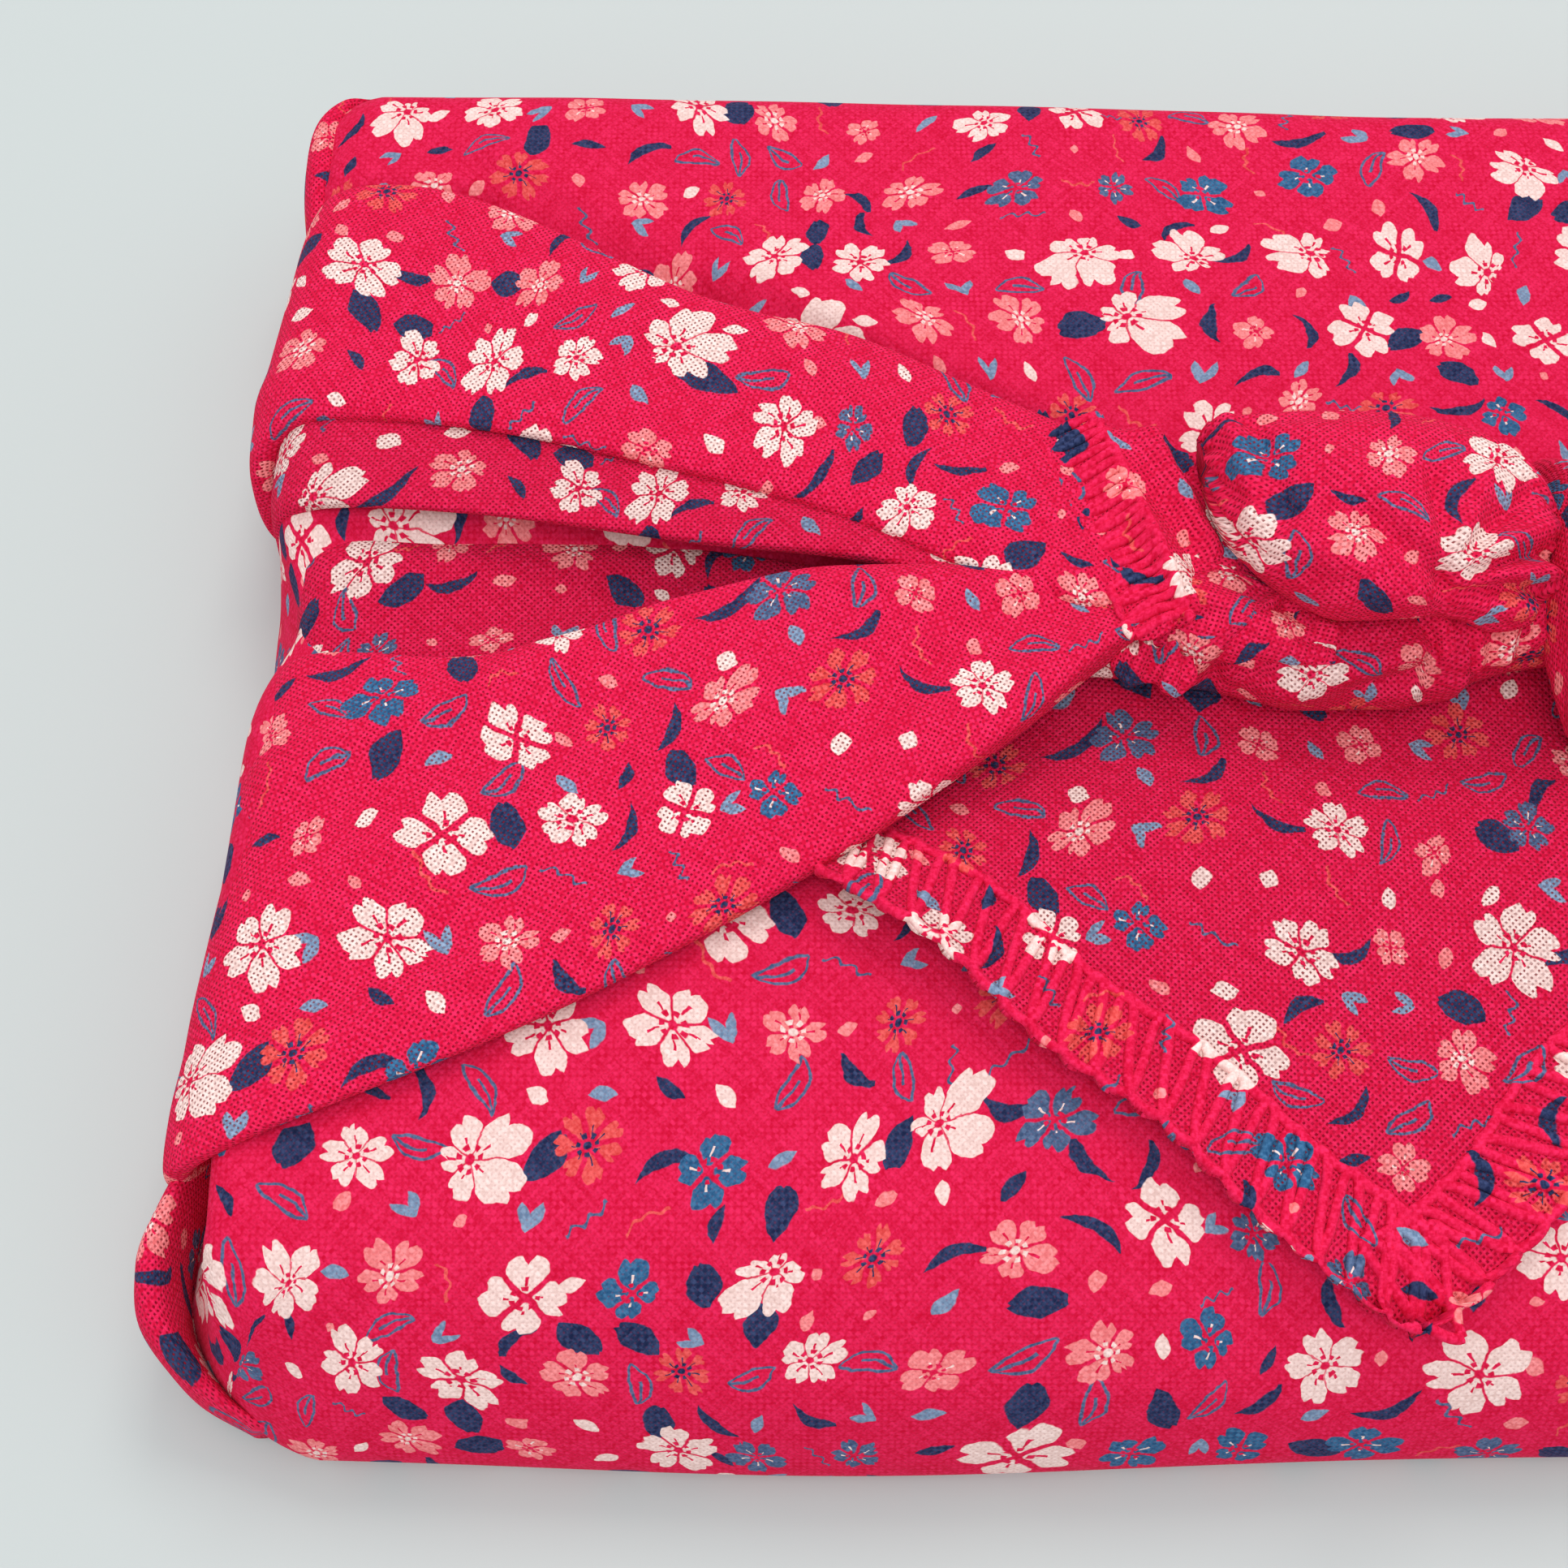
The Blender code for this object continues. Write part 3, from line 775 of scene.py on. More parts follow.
NEAR_RINGS = (
    Ring(3.2, 0.0),
    Ring(1.0, 1.2),
    Ring(0.0, 3.8),
    Ring(0.8, 7.2),
    Ring(2.6, 10.8),
    Ring(5.4, 14.2),
    Ring(9.2, 17.0),
    Ring(14.6, 19.2),
    Ring(27.0, 20.5),
    Ring(59.0, 20.9),
)
HOLLOWS = (
    Crease(-57.0, -13.5, -48.0, -8.0, -1.8, 6.0),
    Crease(-33.0, -5.0, 6.0, -6.5, -2.6, 8.0),
)
SKIN_CREASES = HOLLOWS + (
    Crease(-91.0, 52.0, -60.0, 32.0, 0.55, 1.7),
    Crease(-86.0, 50.0, -58.0, 29.0, -0.35, 1.4),
    Crease(-97.0, 52.0, -66.0, 34.0, -0.40, 2.0),
    Crease(-80.0, 53.0, -46.0, 24.0, 0.30, 2.6),
    Crease(-104.0, 46.6, -92.0, 45.4, -1.1, 1.4),
    Crease(-92.0, 45.6, -72.0, 34.9, -1.3, 1.7),
    Crease(-72.0, 34.9, -43.0, 20.9, -1.4, 1.8),
    Crease(-104.0, 5.4, -58.0, 5.4, -3.8, 6.4),
    Crease(-108.8, -41.0, -108.4, -50.0, -3.0, 2.2),
    Crease(104.0, 4.0, 58.0, 4.0, -3.6, 6.0),
    Crease(-90.0, -50.0, -50.0, -44.0, 0.35, 5.0),
    Crease(-70.0, -57.5, -30.0, -57.0, 0.30, 2.0),
    Crease(-60.0, -30.0, -30.0, -50.0, -0.30, 4.0),
    Crease(90.0, 50.0, 58.0, 30.0, 0.50, 1.8),
    Crease(84.0, 51.0, 52.0, 27.0, -0.35, 1.8),
    Crease(98.0, 7.0, 64.0, 5.0, 0.35, 1.8),
    Crease(90.0, -50.0, 40.0, -42.0, 0.35, 5.0),
)


def smooth_through(xs, ys, at):
    """A smooth curve through known points, without overshoot; xs rise."""
    xs, ys = np.asarray(xs, float), np.asarray(ys, float)
    slopes = np.diff(ys) / np.diff(xs)
    tangents = np.concatenate([[slopes[0]], (slopes[1:] + slopes[:-1]) / 2, [slopes[-1]]])
    flat = slopes[1:] * slopes[:-1] <= 0
    tangents[1:-1][flat] = 0
    i = np.clip(np.searchsorted(xs, at) - 1, 0, len(xs) - 2)
    h = xs[i + 1] - xs[i]
    t = np.clip((at - xs[i]) / h, 0, 1)
    start = (1 + 2 * t) * (1 - t) ** 2 * ys[i] + t * (1 - t) ** 2 * h * tangents[i]
    return start + t * t * (3 - 2 * t) * ys[i + 1] + t * t * (t - 1) * h * tangents[i + 1]


def plan_outline(count):
    """The parcel's plan as evenly spaced points, anticlockwise."""
    path = []
    for i, corner in enumerate(CORNERS):
        here = np.array([corner.x, corner.y])
        for other, points in ((CORNERS[i - 1], True), (CORNERS[(i + 1) % 4], False)):
            towards = np.array([other.x, other.y]) - here
            path.append(here + towards / np.linalg.norm(towards) * corner.cut)
        enter, leave = path[-2:]
        here = here * (1 - CORNER_FLATNESS) + (enter + leave) / 2 * CORNER_FLATNESS
        t = np.linspace(0, 1, 14)[1:-1, None]
        path[-1:] = list(enter * (1 - t) ** 2 + here * 2 * t * (1 - t) + leave * t * t) + [leave]
    path = np.array(path + [path[0]])
    length = np.concatenate([[0], np.cumsum(np.linalg.norm(np.diff(path, axis=0), axis=1))])
    at = np.linspace(0, length[-1], count, endpoint=False)
    plan = np.stack([np.interp(at, length, path[:, k]) for k in (0, 1)], axis=1)
    ahead, behind = np.roll(plan, -1, axis=0), np.roll(plan, 1, axis=0)
    along = (ahead - behind) / np.linalg.norm(ahead - behind, axis=1, keepdims=True)
    outwards = np.stack([along[:, 1], -along[:, 0]], axis=1)
    push = np.zeros(count)
    for b in BULGES:
        away = np.hypot(plan[:, 0] - b.x, plan[:, 1] - b.y)
        push += b.out * np.exp(-((away / b.reach) ** 2))
    return plan + outwards * push[:, None]


def top_height(x, y):
    """The height of the parcel's top under a point."""
    to_side = np.minimum(HALF_LENGTH - np.abs(x), HALF_WIDTH - np.abs(y))
    inset = np.clip(to_side, 0.0, RINGS[-1].inset)
    far, near = ([(r.inset, r.height) for r in rings[2:]] for rings in (RINGS, NEAR_RINGS))
    far, near = (smooth_through(*zip(*rings), inset) for rings in (far, near))
    return far + (near - far) * near_share(x, y)


def near_share(x, y):
    """1 along the near side and 0 elsewhere, with a soft change at its two corners."""
    past_corner = HALF_LENGTH - np.abs(x) - (HALF_WIDTH + y)
    between_corners = np.clip((past_corner + CORNER_BLEND / 2) / CORNER_BLEND, 0, 1)
    return between_corners * np.clip(-y / NEAR_BLEND, 0, 1)


def skin():
    """The closed skin, from the floor over the rim to the middle of the top."""
    plan = plan_outline(OUTLINE_POINTS)
    sides, drops = [], []
    for rings in (RINGS, NEAR_RINGS):
        heights = np.array([r.height for r in rings])
        insets = np.array([r.inset for r in rings])
        steps = np.concatenate([[0], np.cumsum(np.hypot(np.diff(insets), np.diff(heights)))])
        rim = np.linspace(0, steps[-3], RIM_RINGS)
        over_top = np.linspace(steps[-3], steps[-1] * LAST_RING, MIDDLE_RINGS)[1:]
        at = np.concatenate([rim, over_top])
        shrink = 1 - smooth_through(steps, insets, at)[:, None] / np.array([HALF_LENGTH, HALF_WIDTH])
        side = np.empty((len(at), OUTLINE_POINTS, 3))
        side[..., :2] = plan[None] * shrink[:, None]
        side[..., 2] = smooth_through(steps, heights, at)[:, None]
        sides.append(side)
        drops.append(np.clip(steps[-3] - at, 0, None)[:, None])
    share = near_share(*plan.T)[None]
    points = sides[0] + (sides[1] - sides[0]) * share[..., None]
    down = drops[0] + (drops[1] - drops[0]) * share
    edge = points[RIM_RINGS - 1, :, :2].copy()
    x, y, z = (points[..., k] for k in range(3))
    upper = np.clip((z - CREASED_ABOVE) / CREASED_OVER, 0, 1)
    lift = crease_height(x, y, SKIN_CREASES) + SKIN_RIPPLE * ripple(x, y, 9.0, 5)
    normals = grid_normals(points)
    normals *= np.sign(normals[-1, 0, 2])
    points += normals * (lift * upper)[..., None]
    on_end = np.abs(plan[:, 0]) / HALF_LENGTH > np.abs(plan[:, 1]) / HALF_WIDTH + 0.03
    unrolled = edge + np.sign(plan) * down[..., None]
    flat = points[..., :2].copy()
    flat[..., 0] = np.where(on_end & (down > 0), unrolled[..., 0], flat[..., 0])
    flat[..., 1] = np.where(~on_end & (down > 0), unrolled[..., 1], flat[..., 1])
    maps = np.concatenate([flat, flat[:, :1]], axis=1)
    return cloth_object("parcel_skin", points, maps, taut_cotton, closed=True)


parcel_skin = skin()
print("skin:", len(parcel_skin.data.polygons), "faces")

# %% [markdown]
# ## Folds from tables
# A pleat, a rolled part of the knot or an ear is a soft band between two edges. A row of its
# table is a section: a point on its first edge, a point on its second one, half the thickness
# and the lean, which is the way that the thickness faces: 0 is up, and 90 is outwards, where the
# fold runs up the parcel's end. A smooth curve through the rows gives the sections between them.
# The sections are squashed rounds: the higher the squareness, the flatter the cloth and the
# crisper its edges. Creases and gathers fade out towards the underside. The flat map follows the
# cloth round the edge, so the print doesn't smear.

# %% Build folds
Section = namedtuple("Section", "x1 y1 z1 x2 y2 z2 half lean")
FOLD_STEPS = 142
FOLD_SIDES = 92
# Folds that lie in the shade get the cotton painted darker: painted shade.
SHADED_FOLDS = ("valley", "middle_pleat", "standing_part")
FOLD_RIPPLE = 0.1
TROUGH_SHARPNESS = 0.7
MIDDLE_DEPTH = 0.35
LEVEL_FADE = 0.6


def gathers(turn, share, waves, depth, seed):
    """Rounded ridges with sharp troughs between them, which run along a fold and wander."""
    phase = waves * turn / 2 + 0.9 * np.sin(1.7 * turn + seed) + 1.1 * np.sin(4.0 * share + seed)
    ends = MIDDLE_DEPTH + (1 - MIDDLE_DEPTH) * (2 * share - 1) ** 2
    return depth * ends * (np.abs(np.sin(phase)) ** TROUGH_SHARPNESS - 0.6)


def fold(name, rows, squareness, creases, shift, yarn_turn=YARN_TURN, waves=0, depth=0.0):
    """A closed fold through its sections, its cotton painted brighter in the light and darker in the shade.
    """
    material = shaded_slack_cotton if name.startswith(SHADED_FOLDS) else lit_open_cotton
    table = np.array(rows, float)
    at = np.linspace(0, len(rows) - 1, FOLD_STEPS)
    curves = np.stack([smooth_through(range(len(rows)), table[:, k], at) for k in range(8)], axis=1)
    side = np.sign(table[:, 0].mean()) or -1
    middle = (curves[:, 0:3] + curves[:, 3:6]) / 2
    across = (curves[:, 3:6] - curves[:, 0:3]) / 2
    half, lean = curves[:, 6], np.radians(curves[:, 7])
    up = np.stack([side * np.sin(lean), 0 * lean, np.cos(lean)], axis=1)
    turn = np.linspace(-0.5 * math.pi, 1.5 * math.pi, FOLD_SIDES, endpoint=False)
    power = 2 / squareness
    sideways = np.copysign(np.abs(np.cos(turn)) ** power, np.cos(turn))
    upwards = np.copysign(np.abs(np.sin(turn)) ** power, np.sin(turn))
    points = middle[:, None] + across[:, None] * sideways[None, :, None]
    points = points + (up * half[:, None])[:, None] * upwards[None, :, None]
    normals = grid_normals(points)
    top = FOLD_SIDES // 2
    flip = np.sign(np.sum(normals[:, top] * up, axis=1).mean())
    lift = crease_height(points[..., 0], points[..., 1], creases)
    lift = lift + FOLD_RIPPLE * ripple(points[..., 0], points[..., 1] + points[..., 2], 5.0, len(name))
    share = np.linspace(0, 1, FOLD_STEPS)[:, None]
    lift = lift + gathers(turn[None], share, waves, depth, len(name))
    lift = lift * np.clip(upwards + LEVEL_FADE, 0, 1)[None]
    points = points + normals * flip * lift[..., None]
    maps = fold_map(points, middle, across, side, shift)
    return cloth_object(name, points, maps, material, closed=True, yarn_turn=yarn_turn)


def fold_map(points, middle, across, side, shift):
    """The flat cloth under each point of a fold, unrolled from its last section."""
    step = np.diff(middle, axis=0)
    sign = np.where(np.abs(step[:, 0]) > 0.3 * np.abs(step[:, 2]), np.sign(step[:, 0]), -side)
    flat_step = np.stack([sign * np.hypot(step[:, 0], step[:, 2]), step[:, 1]], axis=1)
    line = middle[-1, :2] - np.concatenate([np.cumsum(flat_step[::-1], axis=0)[::-1], [[0, 0]]])
    ring = np.concatenate([points, points[:, :1]], axis=1)
    length = np.cumsum(np.linalg.norm(np.diff(ring, axis=1), axis=2), axis=1)
    length = np.concatenate([np.zeros((len(points), 1)), length], axis=1)
    top = (ring.shape[1] - 1) // 2
    length = -(length - length[:, top : top + 1])
    out = across[:, :2] + np.array([side * 0.01, 0])
    out = out / np.linalg.norm(out, axis=1, keepdims=True)
    return line[:, None] + out[:, None] * length[..., None] + np.array(shift)


print("fold builder ready")

# %% [markdown]
# ## The pleats
# The left corner's cloth rises round the end of the box in three pleats that narrow towards the
# knot: an upper one with a crisp edge on both sides, a slim one half under it, and a broad
# lower one. Their near edges stand a little off what is under them, so each draws a dark line.
# Between the last two the cloth sinks into a valley laid in a trough of the skin, shaded by the
# trough and painted darker as well. On the end's own face a tuck bulges out at each corner. The
# right end mirrors the left, tied by hand, so its folds are a little slimmer and nearer the
# viewer, and their creases shallower.

# %% Fold the pleats
UPPER_PLEAT = (
    Section(-105.0, 42.0, 1.4, -107.0, 20.5, 1.4, 1.4, 90),
    Section(-106.4, 43.5, 7.0, -109.2, 19.0, 7.0, 2.2, 90),
    Section(-106.3, 45.0, 14.0, -109.5, 19.4, 13.6, 2.0, 75),
    Section(-103.6, 46.1, 20.6, -105.4, 21.8, 20.2, 1.4, 30),
    Section(-91.6, 43.7, 22.6, -90.4, 19.6, 22.8, 1.0, 0),
    Section(-72.0, 32.4, 23.5, -71.7, 14.2, 23.9, 1.2, 0),
    Section(-59.2, 27.5, 24.2, -59.5, 9.3, 24.8, 1.4, 0),
    Section(-46.0, 20.2, 24.6, -46.0, 2.2, 25.3, 1.8, 0),
    Section(-36.0, 15.0, 24.4, -36.0, 0.2, 25.2, 2.2, 0),
    Section(-28.0, 12.0, 24.6, -28.0, 0.6, 24.8, 2.5, 0),
)
MIDDLE_PLEAT = (
    Section(-105.0, 25.0, 1.4, -105.6, 11.5, 1.4, 1.2, 90),
    Section(-107.0, 25.0, 7.0, -106.8, 13.0, 7.0, 1.8, 90),
    Section(-107.0, 26.0, 13.5, -107.0, 14.0, 13.5, 1.6, 75),
    Section(-103.5, 25.0, 19.4, -104.0, 13.6, 19.9, 1.2, 30),
    Section(-90.0, 24.0, 20.8, -90.4, 11.4, 22.7, 0.8, 0),
    Section(-72.0, 19.0, 21.4, -72.0, 7.8, 24.0, 1.0, 0),
    Section(-57.0, 14.0, 22.2, -57.0, 5.4, 24.6, 1.2, 0),
    Section(-43.0, 8.0, 22.6, -43.0, 0.2, 24.0, 1.6, 0),
)
LOWER_PLEAT = (
    Section(-104.6, -1.5, 1.4, -106.0, -39.0, 1.4, 1.4, 90),
    Section(-105.6, -1.5, 7.0, -108.6, -41.0, 7.0, 2.0, 90),
    Section(-105.3, -0.6, 13.6, -109.2, -41.8, 14.6, 1.8, 75),
    Section(-102.4, 0.0, 19.4, -103.8, -40.4, 20.8, 1.1, 28),
    Section(-88.0, -1.6, 21.8, -85.6, -33.0, 22.2, 1.0, 0),
    Section(-73.0, 2.9, 23.5, -73.0, -26.4, 22.3, 1.2, 0),
    Section(-60.0, 4.9, 24.4, -60.0, -18.6, 23.1, 1.5, 0),
    Section(-48.0, 4.5, 24.5, -48.0, -10.2, 24.6, 1.9, 0),
    Section(-38.0, 3.8, 24.0, -38.4, -2.2, 24.8, 2.3, 0),
    Section(-32.0, 3.5, 24.6, -32.5, -1.4, 25.0, 2.4, 0),
)
VALLEY = (
    Section(-103.0, 15.0, 1.4, -103.4, -3.4, 1.4, 0.8, 90),
    Section(-104.4, 15.0, 7.0, -104.8, -3.4, 7.0, 1.2, 90),
    Section(-104.2, 15.0, 13.0, -104.4, -3.0, 13.0, 1.2, 75),
    Section(-101.4, 15.0, 17.2, -101.6, -2.6, 17.4, 0.9, 30),
    Section(-90.0, 14.0, 18.0, -90.0, -2.6, 18.2, 0.6, 0),
    Section(-74.0, 11.0, 18.2, -74.0, 1.5, 18.6, 0.6, 0),
    Section(-60.0, 8.0, 19.2, -60.0, 4.0, 19.6, 0.6, 0),
    Section(-50.0, 5.0, 20.6, -50.0, 2.5, 20.8, 0.5, 0),
)
NEAR_TUCK = (
    Section(-107.6, -37.0, 15.0, -107.6, -37.0, 2.0, 0.8, 90),
    Section(-109.4, -43.0, 16.0, -109.6, -43.0, 1.6, 1.4, 90),
    Section(-110.5, -47.5, 15.4, -110.8, -47.5, 1.4, 1.7, 90),
    Section(-110.1, -51.5, 13.0, -110.5, -51.5, 1.4, 1.8, 90),
    Section(-107.1, -55.2, 9.0, -108.0, -55.2, 1.4, 1.5, 90),
    Section(-103.2, -57.6, 6.0, -104.2, -57.6, 1.4, 0.8, 90),
)
FAR_TUCK = (
    Section(-103.2, 60.4, 17.2, -103.6, 60.4, 2.0, 0.8, 90),
    Section(-105.0, 59.4, 18.2, -105.4, 59.4, 1.6, 1.5, 90),
    Section(-106.4, 56.4, 18.8, -106.8, 56.4, 1.6, 2.2, 90),
    Section(-106.7, 52.0, 18.8, -107.1, 52.0, 1.6, 2.3, 90),
    Section(-106.6, 46.5, 17.4, -107.0, 46.5, 1.6, 1.9, 90),
    Section(-106.0, 41.0, 16.0, -106.6, 41.0, 1.6, 1.2, 90),
)
UPPER_CREASES = (
    Crease(-60.0, 22.0, -50.0, 11.0, 0.35, 2.0),
    Crease(-86.0, 34.0, -55.0, 20.0, 0.25, 3.0),
    Crease(-66.0, 15.0, -50.0, 7.0, 0.30, 1.4),
    Crease(-108.0, 26.0, -100.0, 24.5, 0.45, 2.0),
)
LOWER_CREASES = (
    Crease(-104.0, -11.0, -84.0, -3.0, 0.70, 2.6),
    Crease(-104.0, -16.0, -72.0, -6.0, -0.45, 2.6),
    Crease(-100.0, -22.0, -62.0, -4.0, 0.50, 3.2),
    Crease(-106.0, -32.0, -84.0, -24.0, -0.55, 2.2),
    Crease(-96.0, -33.0, -66.0, -17.0, 0.30, 2.6),
    Crease(-56.0, -5.0, -42.0, 1.0, -0.90, 2.2),
    Crease(-62.0, 2.5, -44.0, 3.0, 0.45, 1.8),
)
VALLEY_CREASES = (
    Crease(-104.0, 9.6, -78.0, 9.0, 0.50, 1.6),
    Crease(-104.0, 2.0, -80.0, 5.0, -0.40, 1.8),
)
RIGHT_SLIMMER = 0.93
RIGHT_SHIFT = -1.2
RIGHT_SHALLOWER = 0.85


def mirrored(rows):
    """The same sections on the right of the parcel."""
    made = []
    for row in rows:
        middle = (row.y1 + row.y2) / 2 + RIGHT_SHIFT
        reach = (row.y1 - row.y2) / 2 * RIGHT_SLIMMER
        made.append(row._replace(x1=-row.x1, y1=middle + reach, x2=-row.x2, y2=middle - reach))
    return made


def mirrored_creases(creases):
    """The same creases on the right, turned a little and shallower."""
    made = []
    for c in creases:
        made.append(c._replace(x1=-c.x1 + 1.0, x2=-c.x2 - 1.5, height=RIGHT_SHALLOWER * c.height))
    return made


Pleat = namedtuple("Pleat", "name rows squareness creases shift yarn_turn")
PLEATS = (
    Pleat("upper_pleat", UPPER_PLEAT, 3.6, UPPER_CREASES, (11.0, 4.0), 58.0),
    # The middle pleat and the valley lie in the shade and take the cotton painted darker: painted shade.
    Pleat("middle_pleat", MIDDLE_PLEAT, 3.2, (), (-3.0, 17.0), 50.0),
    Pleat("lower_pleat", LOWER_PLEAT, 4.4, LOWER_CREASES, (21.0, -6.0), 32.0),
    Pleat("valley", VALLEY, 4.0, VALLEY_CREASES, (9.0, -7.0), 42.0),
    Pleat("near_tuck", NEAR_TUCK, 2.4, (), (4.0, 13.0), 45.0),
    Pleat("far_tuck", FAR_TUCK, 2.6, (), (15.0, 2.0), 45.0),
)
pleats = []
for p in PLEATS:
    pleats.append(fold(f"{p.name}_left", p.rows, p.squareness, p.creases, p.shift, p.yarn_turn))
    right = (mirrored(p.rows), p.squareness, mirrored_creases(p.creases), p.shift, 90 - p.yarn_turn)
    pleats.append(fold(f"{p.name}_right", *right))
print(len(pleats), "pleats and tucks")

# %% [markdown]
# ## The knot
# A square knot in a corner of soft cloth has a standing part that rolls in from each side, a
# puffed ear where the corner turns back on itself, the corner's end lying over the pleats, a
# slack fold between them, two curled bits of hem, and a tight band in the middle that squeezes
# all of them. Each is a fold from its own table. The squeeze shows as creases that fan out from
# the band, and as gathers: waves counts them, and depth is how far they rise in millimetres.

# %% Tie the knot
STANDING_PART = (
    Section(-41.0, 4.0, 22.4, -41.0, -3.0, 21.8, 2.2, 0),
    Section(-36.0, 4.0, 24.0, -36.0, -3.6, 22.4, 3.2, 0),
    Section(-31.5, 4.0, 24.8, -31.5, -4.6, 22.8, 3.8, 0),
    Section(-26.0, 4.0, 24.0, -26.0, -5.8, 22.8, 4.0, 0),
    Section(-19.0, 4.0, 24.0, -19.0, -6.2, 22.8, 4.2, 0),
    Section(-14.0, 4.0, 24.2, -14.0, -5.6, 23.2, 4.2, 0),
    Section(-9.0, 4.0, 26.2, -9.0, -3.6, 24.2, 4.2, 0),
    Section(-1.0, 4.0, 26.8, -1.0, -3.0, 25.0, 4.0, 0),
)
SLACK_FOLD = (
    Section(-35.5, 8.0, 25.4, -36.6, 0.4, 25.0, 1.3, 0),
    Section(-33.0, 6.0, 25.8, -34.0, -2.0, 25.2, 2.0, 0),
    Section(-30.0, 4.0, 26.2, -31.2, -3.6, 25.4, 2.1, 0),
    Section(-26.5, 2.0, 26.4, -27.6, -4.4, 25.6, 1.9, 0),
    Section(-22.5, 1.0, 26.6, -23.0, -4.6, 25.8, 1.4, 0),
)
EAR = (
    Section(-32.4, 13.4, 29.4, -32.0, 9.6, 29.0, 1.6, 0),
    Section(-31.6, 14.2, 30.2, -31.2, 6.0, 29.2, 2.8, 0),
    Section(-28.8, 14.5, 30.8, -29.2, 2.4, 29.6, 3.6, 0),
    Section(-25.0, 14.4, 31.2, -26.2, -0.8, 30.2, 4.4, 0),
    Section(-21.5, 14.2, 31.4, -22.6, -2.8, 30.8, 4.8, 0),
    Section(-17.0, 13.8, 31.4, -18.4, -2.8, 31.2, 4.8, 0),
    Section(-13.0, 12.8, 31.4, -14.6, -2.8, 30.6, 4.4, 0),
    Section(-9.8, 11.2, 31.4, -11.4, -3.6, 30.2, 4.0, 0),
    Section(-7.6, 8.8, 31.4, -8.6, -2.8, 30.2, 3.0, 0),
    Section(-6.6, 6.6, 31.4, -7.0, 0.0, 30.6, 1.6, 0),
)
TAIL_END = (
    Section(-44.6, 17.2, 25.4, -38.6, -2.0, 26.0, 0.5, 0),
    Section(-42.4, 17.0, 26.3, -37.0, -2.6, 26.5, 0.6, 0),
    Section(-39.4, 16.4, 27.2, -35.0, -1.8, 27.0, 1.0, 0),
    Section(-36.0, 15.4, 27.4, -33.2, 0.0, 26.8, 1.1, 0),
    Section(-33.4, 14.4, 27.0, -31.4, 2.0, 26.3, 1.1, 0),
    Section(-30.0, 12.8, 26.2, -28.4, 3.6, 25.8, 1.1, 0),
)
CURLED_HEM = (
    Section(-39.6, 1.6, 25.2, -37.6, 1.2, 25.6, 0.6, 0),
    Section(-39.4, -0.6, 24.8, -36.8, -0.4, 25.6, 0.8, 0),
    Section(-39.6, -2.8, 23.6, -36.8, -1.4, 25.2, 0.8, 0),
    Section(-38.0, -4.6, 23.0, -36.0, -2.0, 24.8, 0.9, 0),
    Section(-36.2, -4.4, 23.0, -35.2, -2.0, 25.2, 0.8, 0),
    Section(-34.6, -5.6, 22.8, -34.0, -2.8, 24.8, 0.9, 0),
    Section(-33.0, -4.6, 23.4, -33.0, -2.4, 24.6, 0.7, 0),
)
LOW_HEM = (
    Section(-16.4, 0.2, 28.4, -16.6, -1.4, 27.2, 0.7, 0),
    Section(-14.6, 0.2, 28.4, -15.0, -3.4, 26.2, 1.0, 0),
    Section(-12.6, -0.2, 28.6, -12.6, -4.8, 25.8, 1.2, 0),
    Section(-10.6, -0.4, 28.8, -10.4, -4.4, 25.8, 1.2, 0),
    Section(-8.6, -0.4, 29.0, -8.4, -3.6, 26.2, 1.1, 0),
    Section(-6.6, 0.0, 29.2, -6.4, -2.8, 27.0, 0.9, 0),
)
KNOT_BAND = (
    Section(3.4, 14.4, 20.8, -3.4, 14.4, 20.8, 1.6, 0),
    Section(5.6, 12.0, 24.8, -5.6, 12.0, 24.8, 5.0, 0),
    Section(7.0, 6.4, 28.8, -7.0, 6.4, 28.8, 7.4, 0),
    Section(7.4, 0.6, 29.4, -7.4, 0.6, 29.4, 7.6, 0),
    Section(6.6, -4.4, 27.0, -6.6, -4.4, 27.0, 6.0, 0),
    Section(4.8, -8.0, 23.4, -4.8, -8.0, 23.4, 3.2, 0),
    Section(3.0, -9.4, 20.8, -3.0, -9.4, 20.8, 1.4, 0),
)
EAR_CREASES = (
    Crease(-16.4, -1.6, -21.5, 2.5, -1.2, 0.9),
    Crease(-16.0, -0.4, -16.6, 6.0, -0.9, 0.8),
    Crease(-15.6, -0.6, -12.6, 6.0, 0.7, 0.8),
    Crease(-15.6, -0.8, -9.6, 5.0, -1.0, 0.7),
    Crease(-15.2, -1.0, -8.0, 2.8, 0.9, 0.7),
    Crease(-15.4, -1.4, -7.4, 1.2, -1.4, 0.6),
    Crease(-15.0, -1.8, -7.6, -0.4, 0.9, 0.6),
    Crease(-15.4, -2.2, -8.0, -1.7, -1.4, 0.6),
    Crease(-19.0, -3.2, -27.0, 2.0, 0.5, 1.2),
    Crease(-17.5, 0.0, -24.0, 9.0, 0.45, 1.5),
    Crease(-30.6, 12.5, -29.2, 5.0, 0.9, 0.8),
    Crease(-28.8, 11.5, -27.4, 4.0, -0.6, 0.8),
)
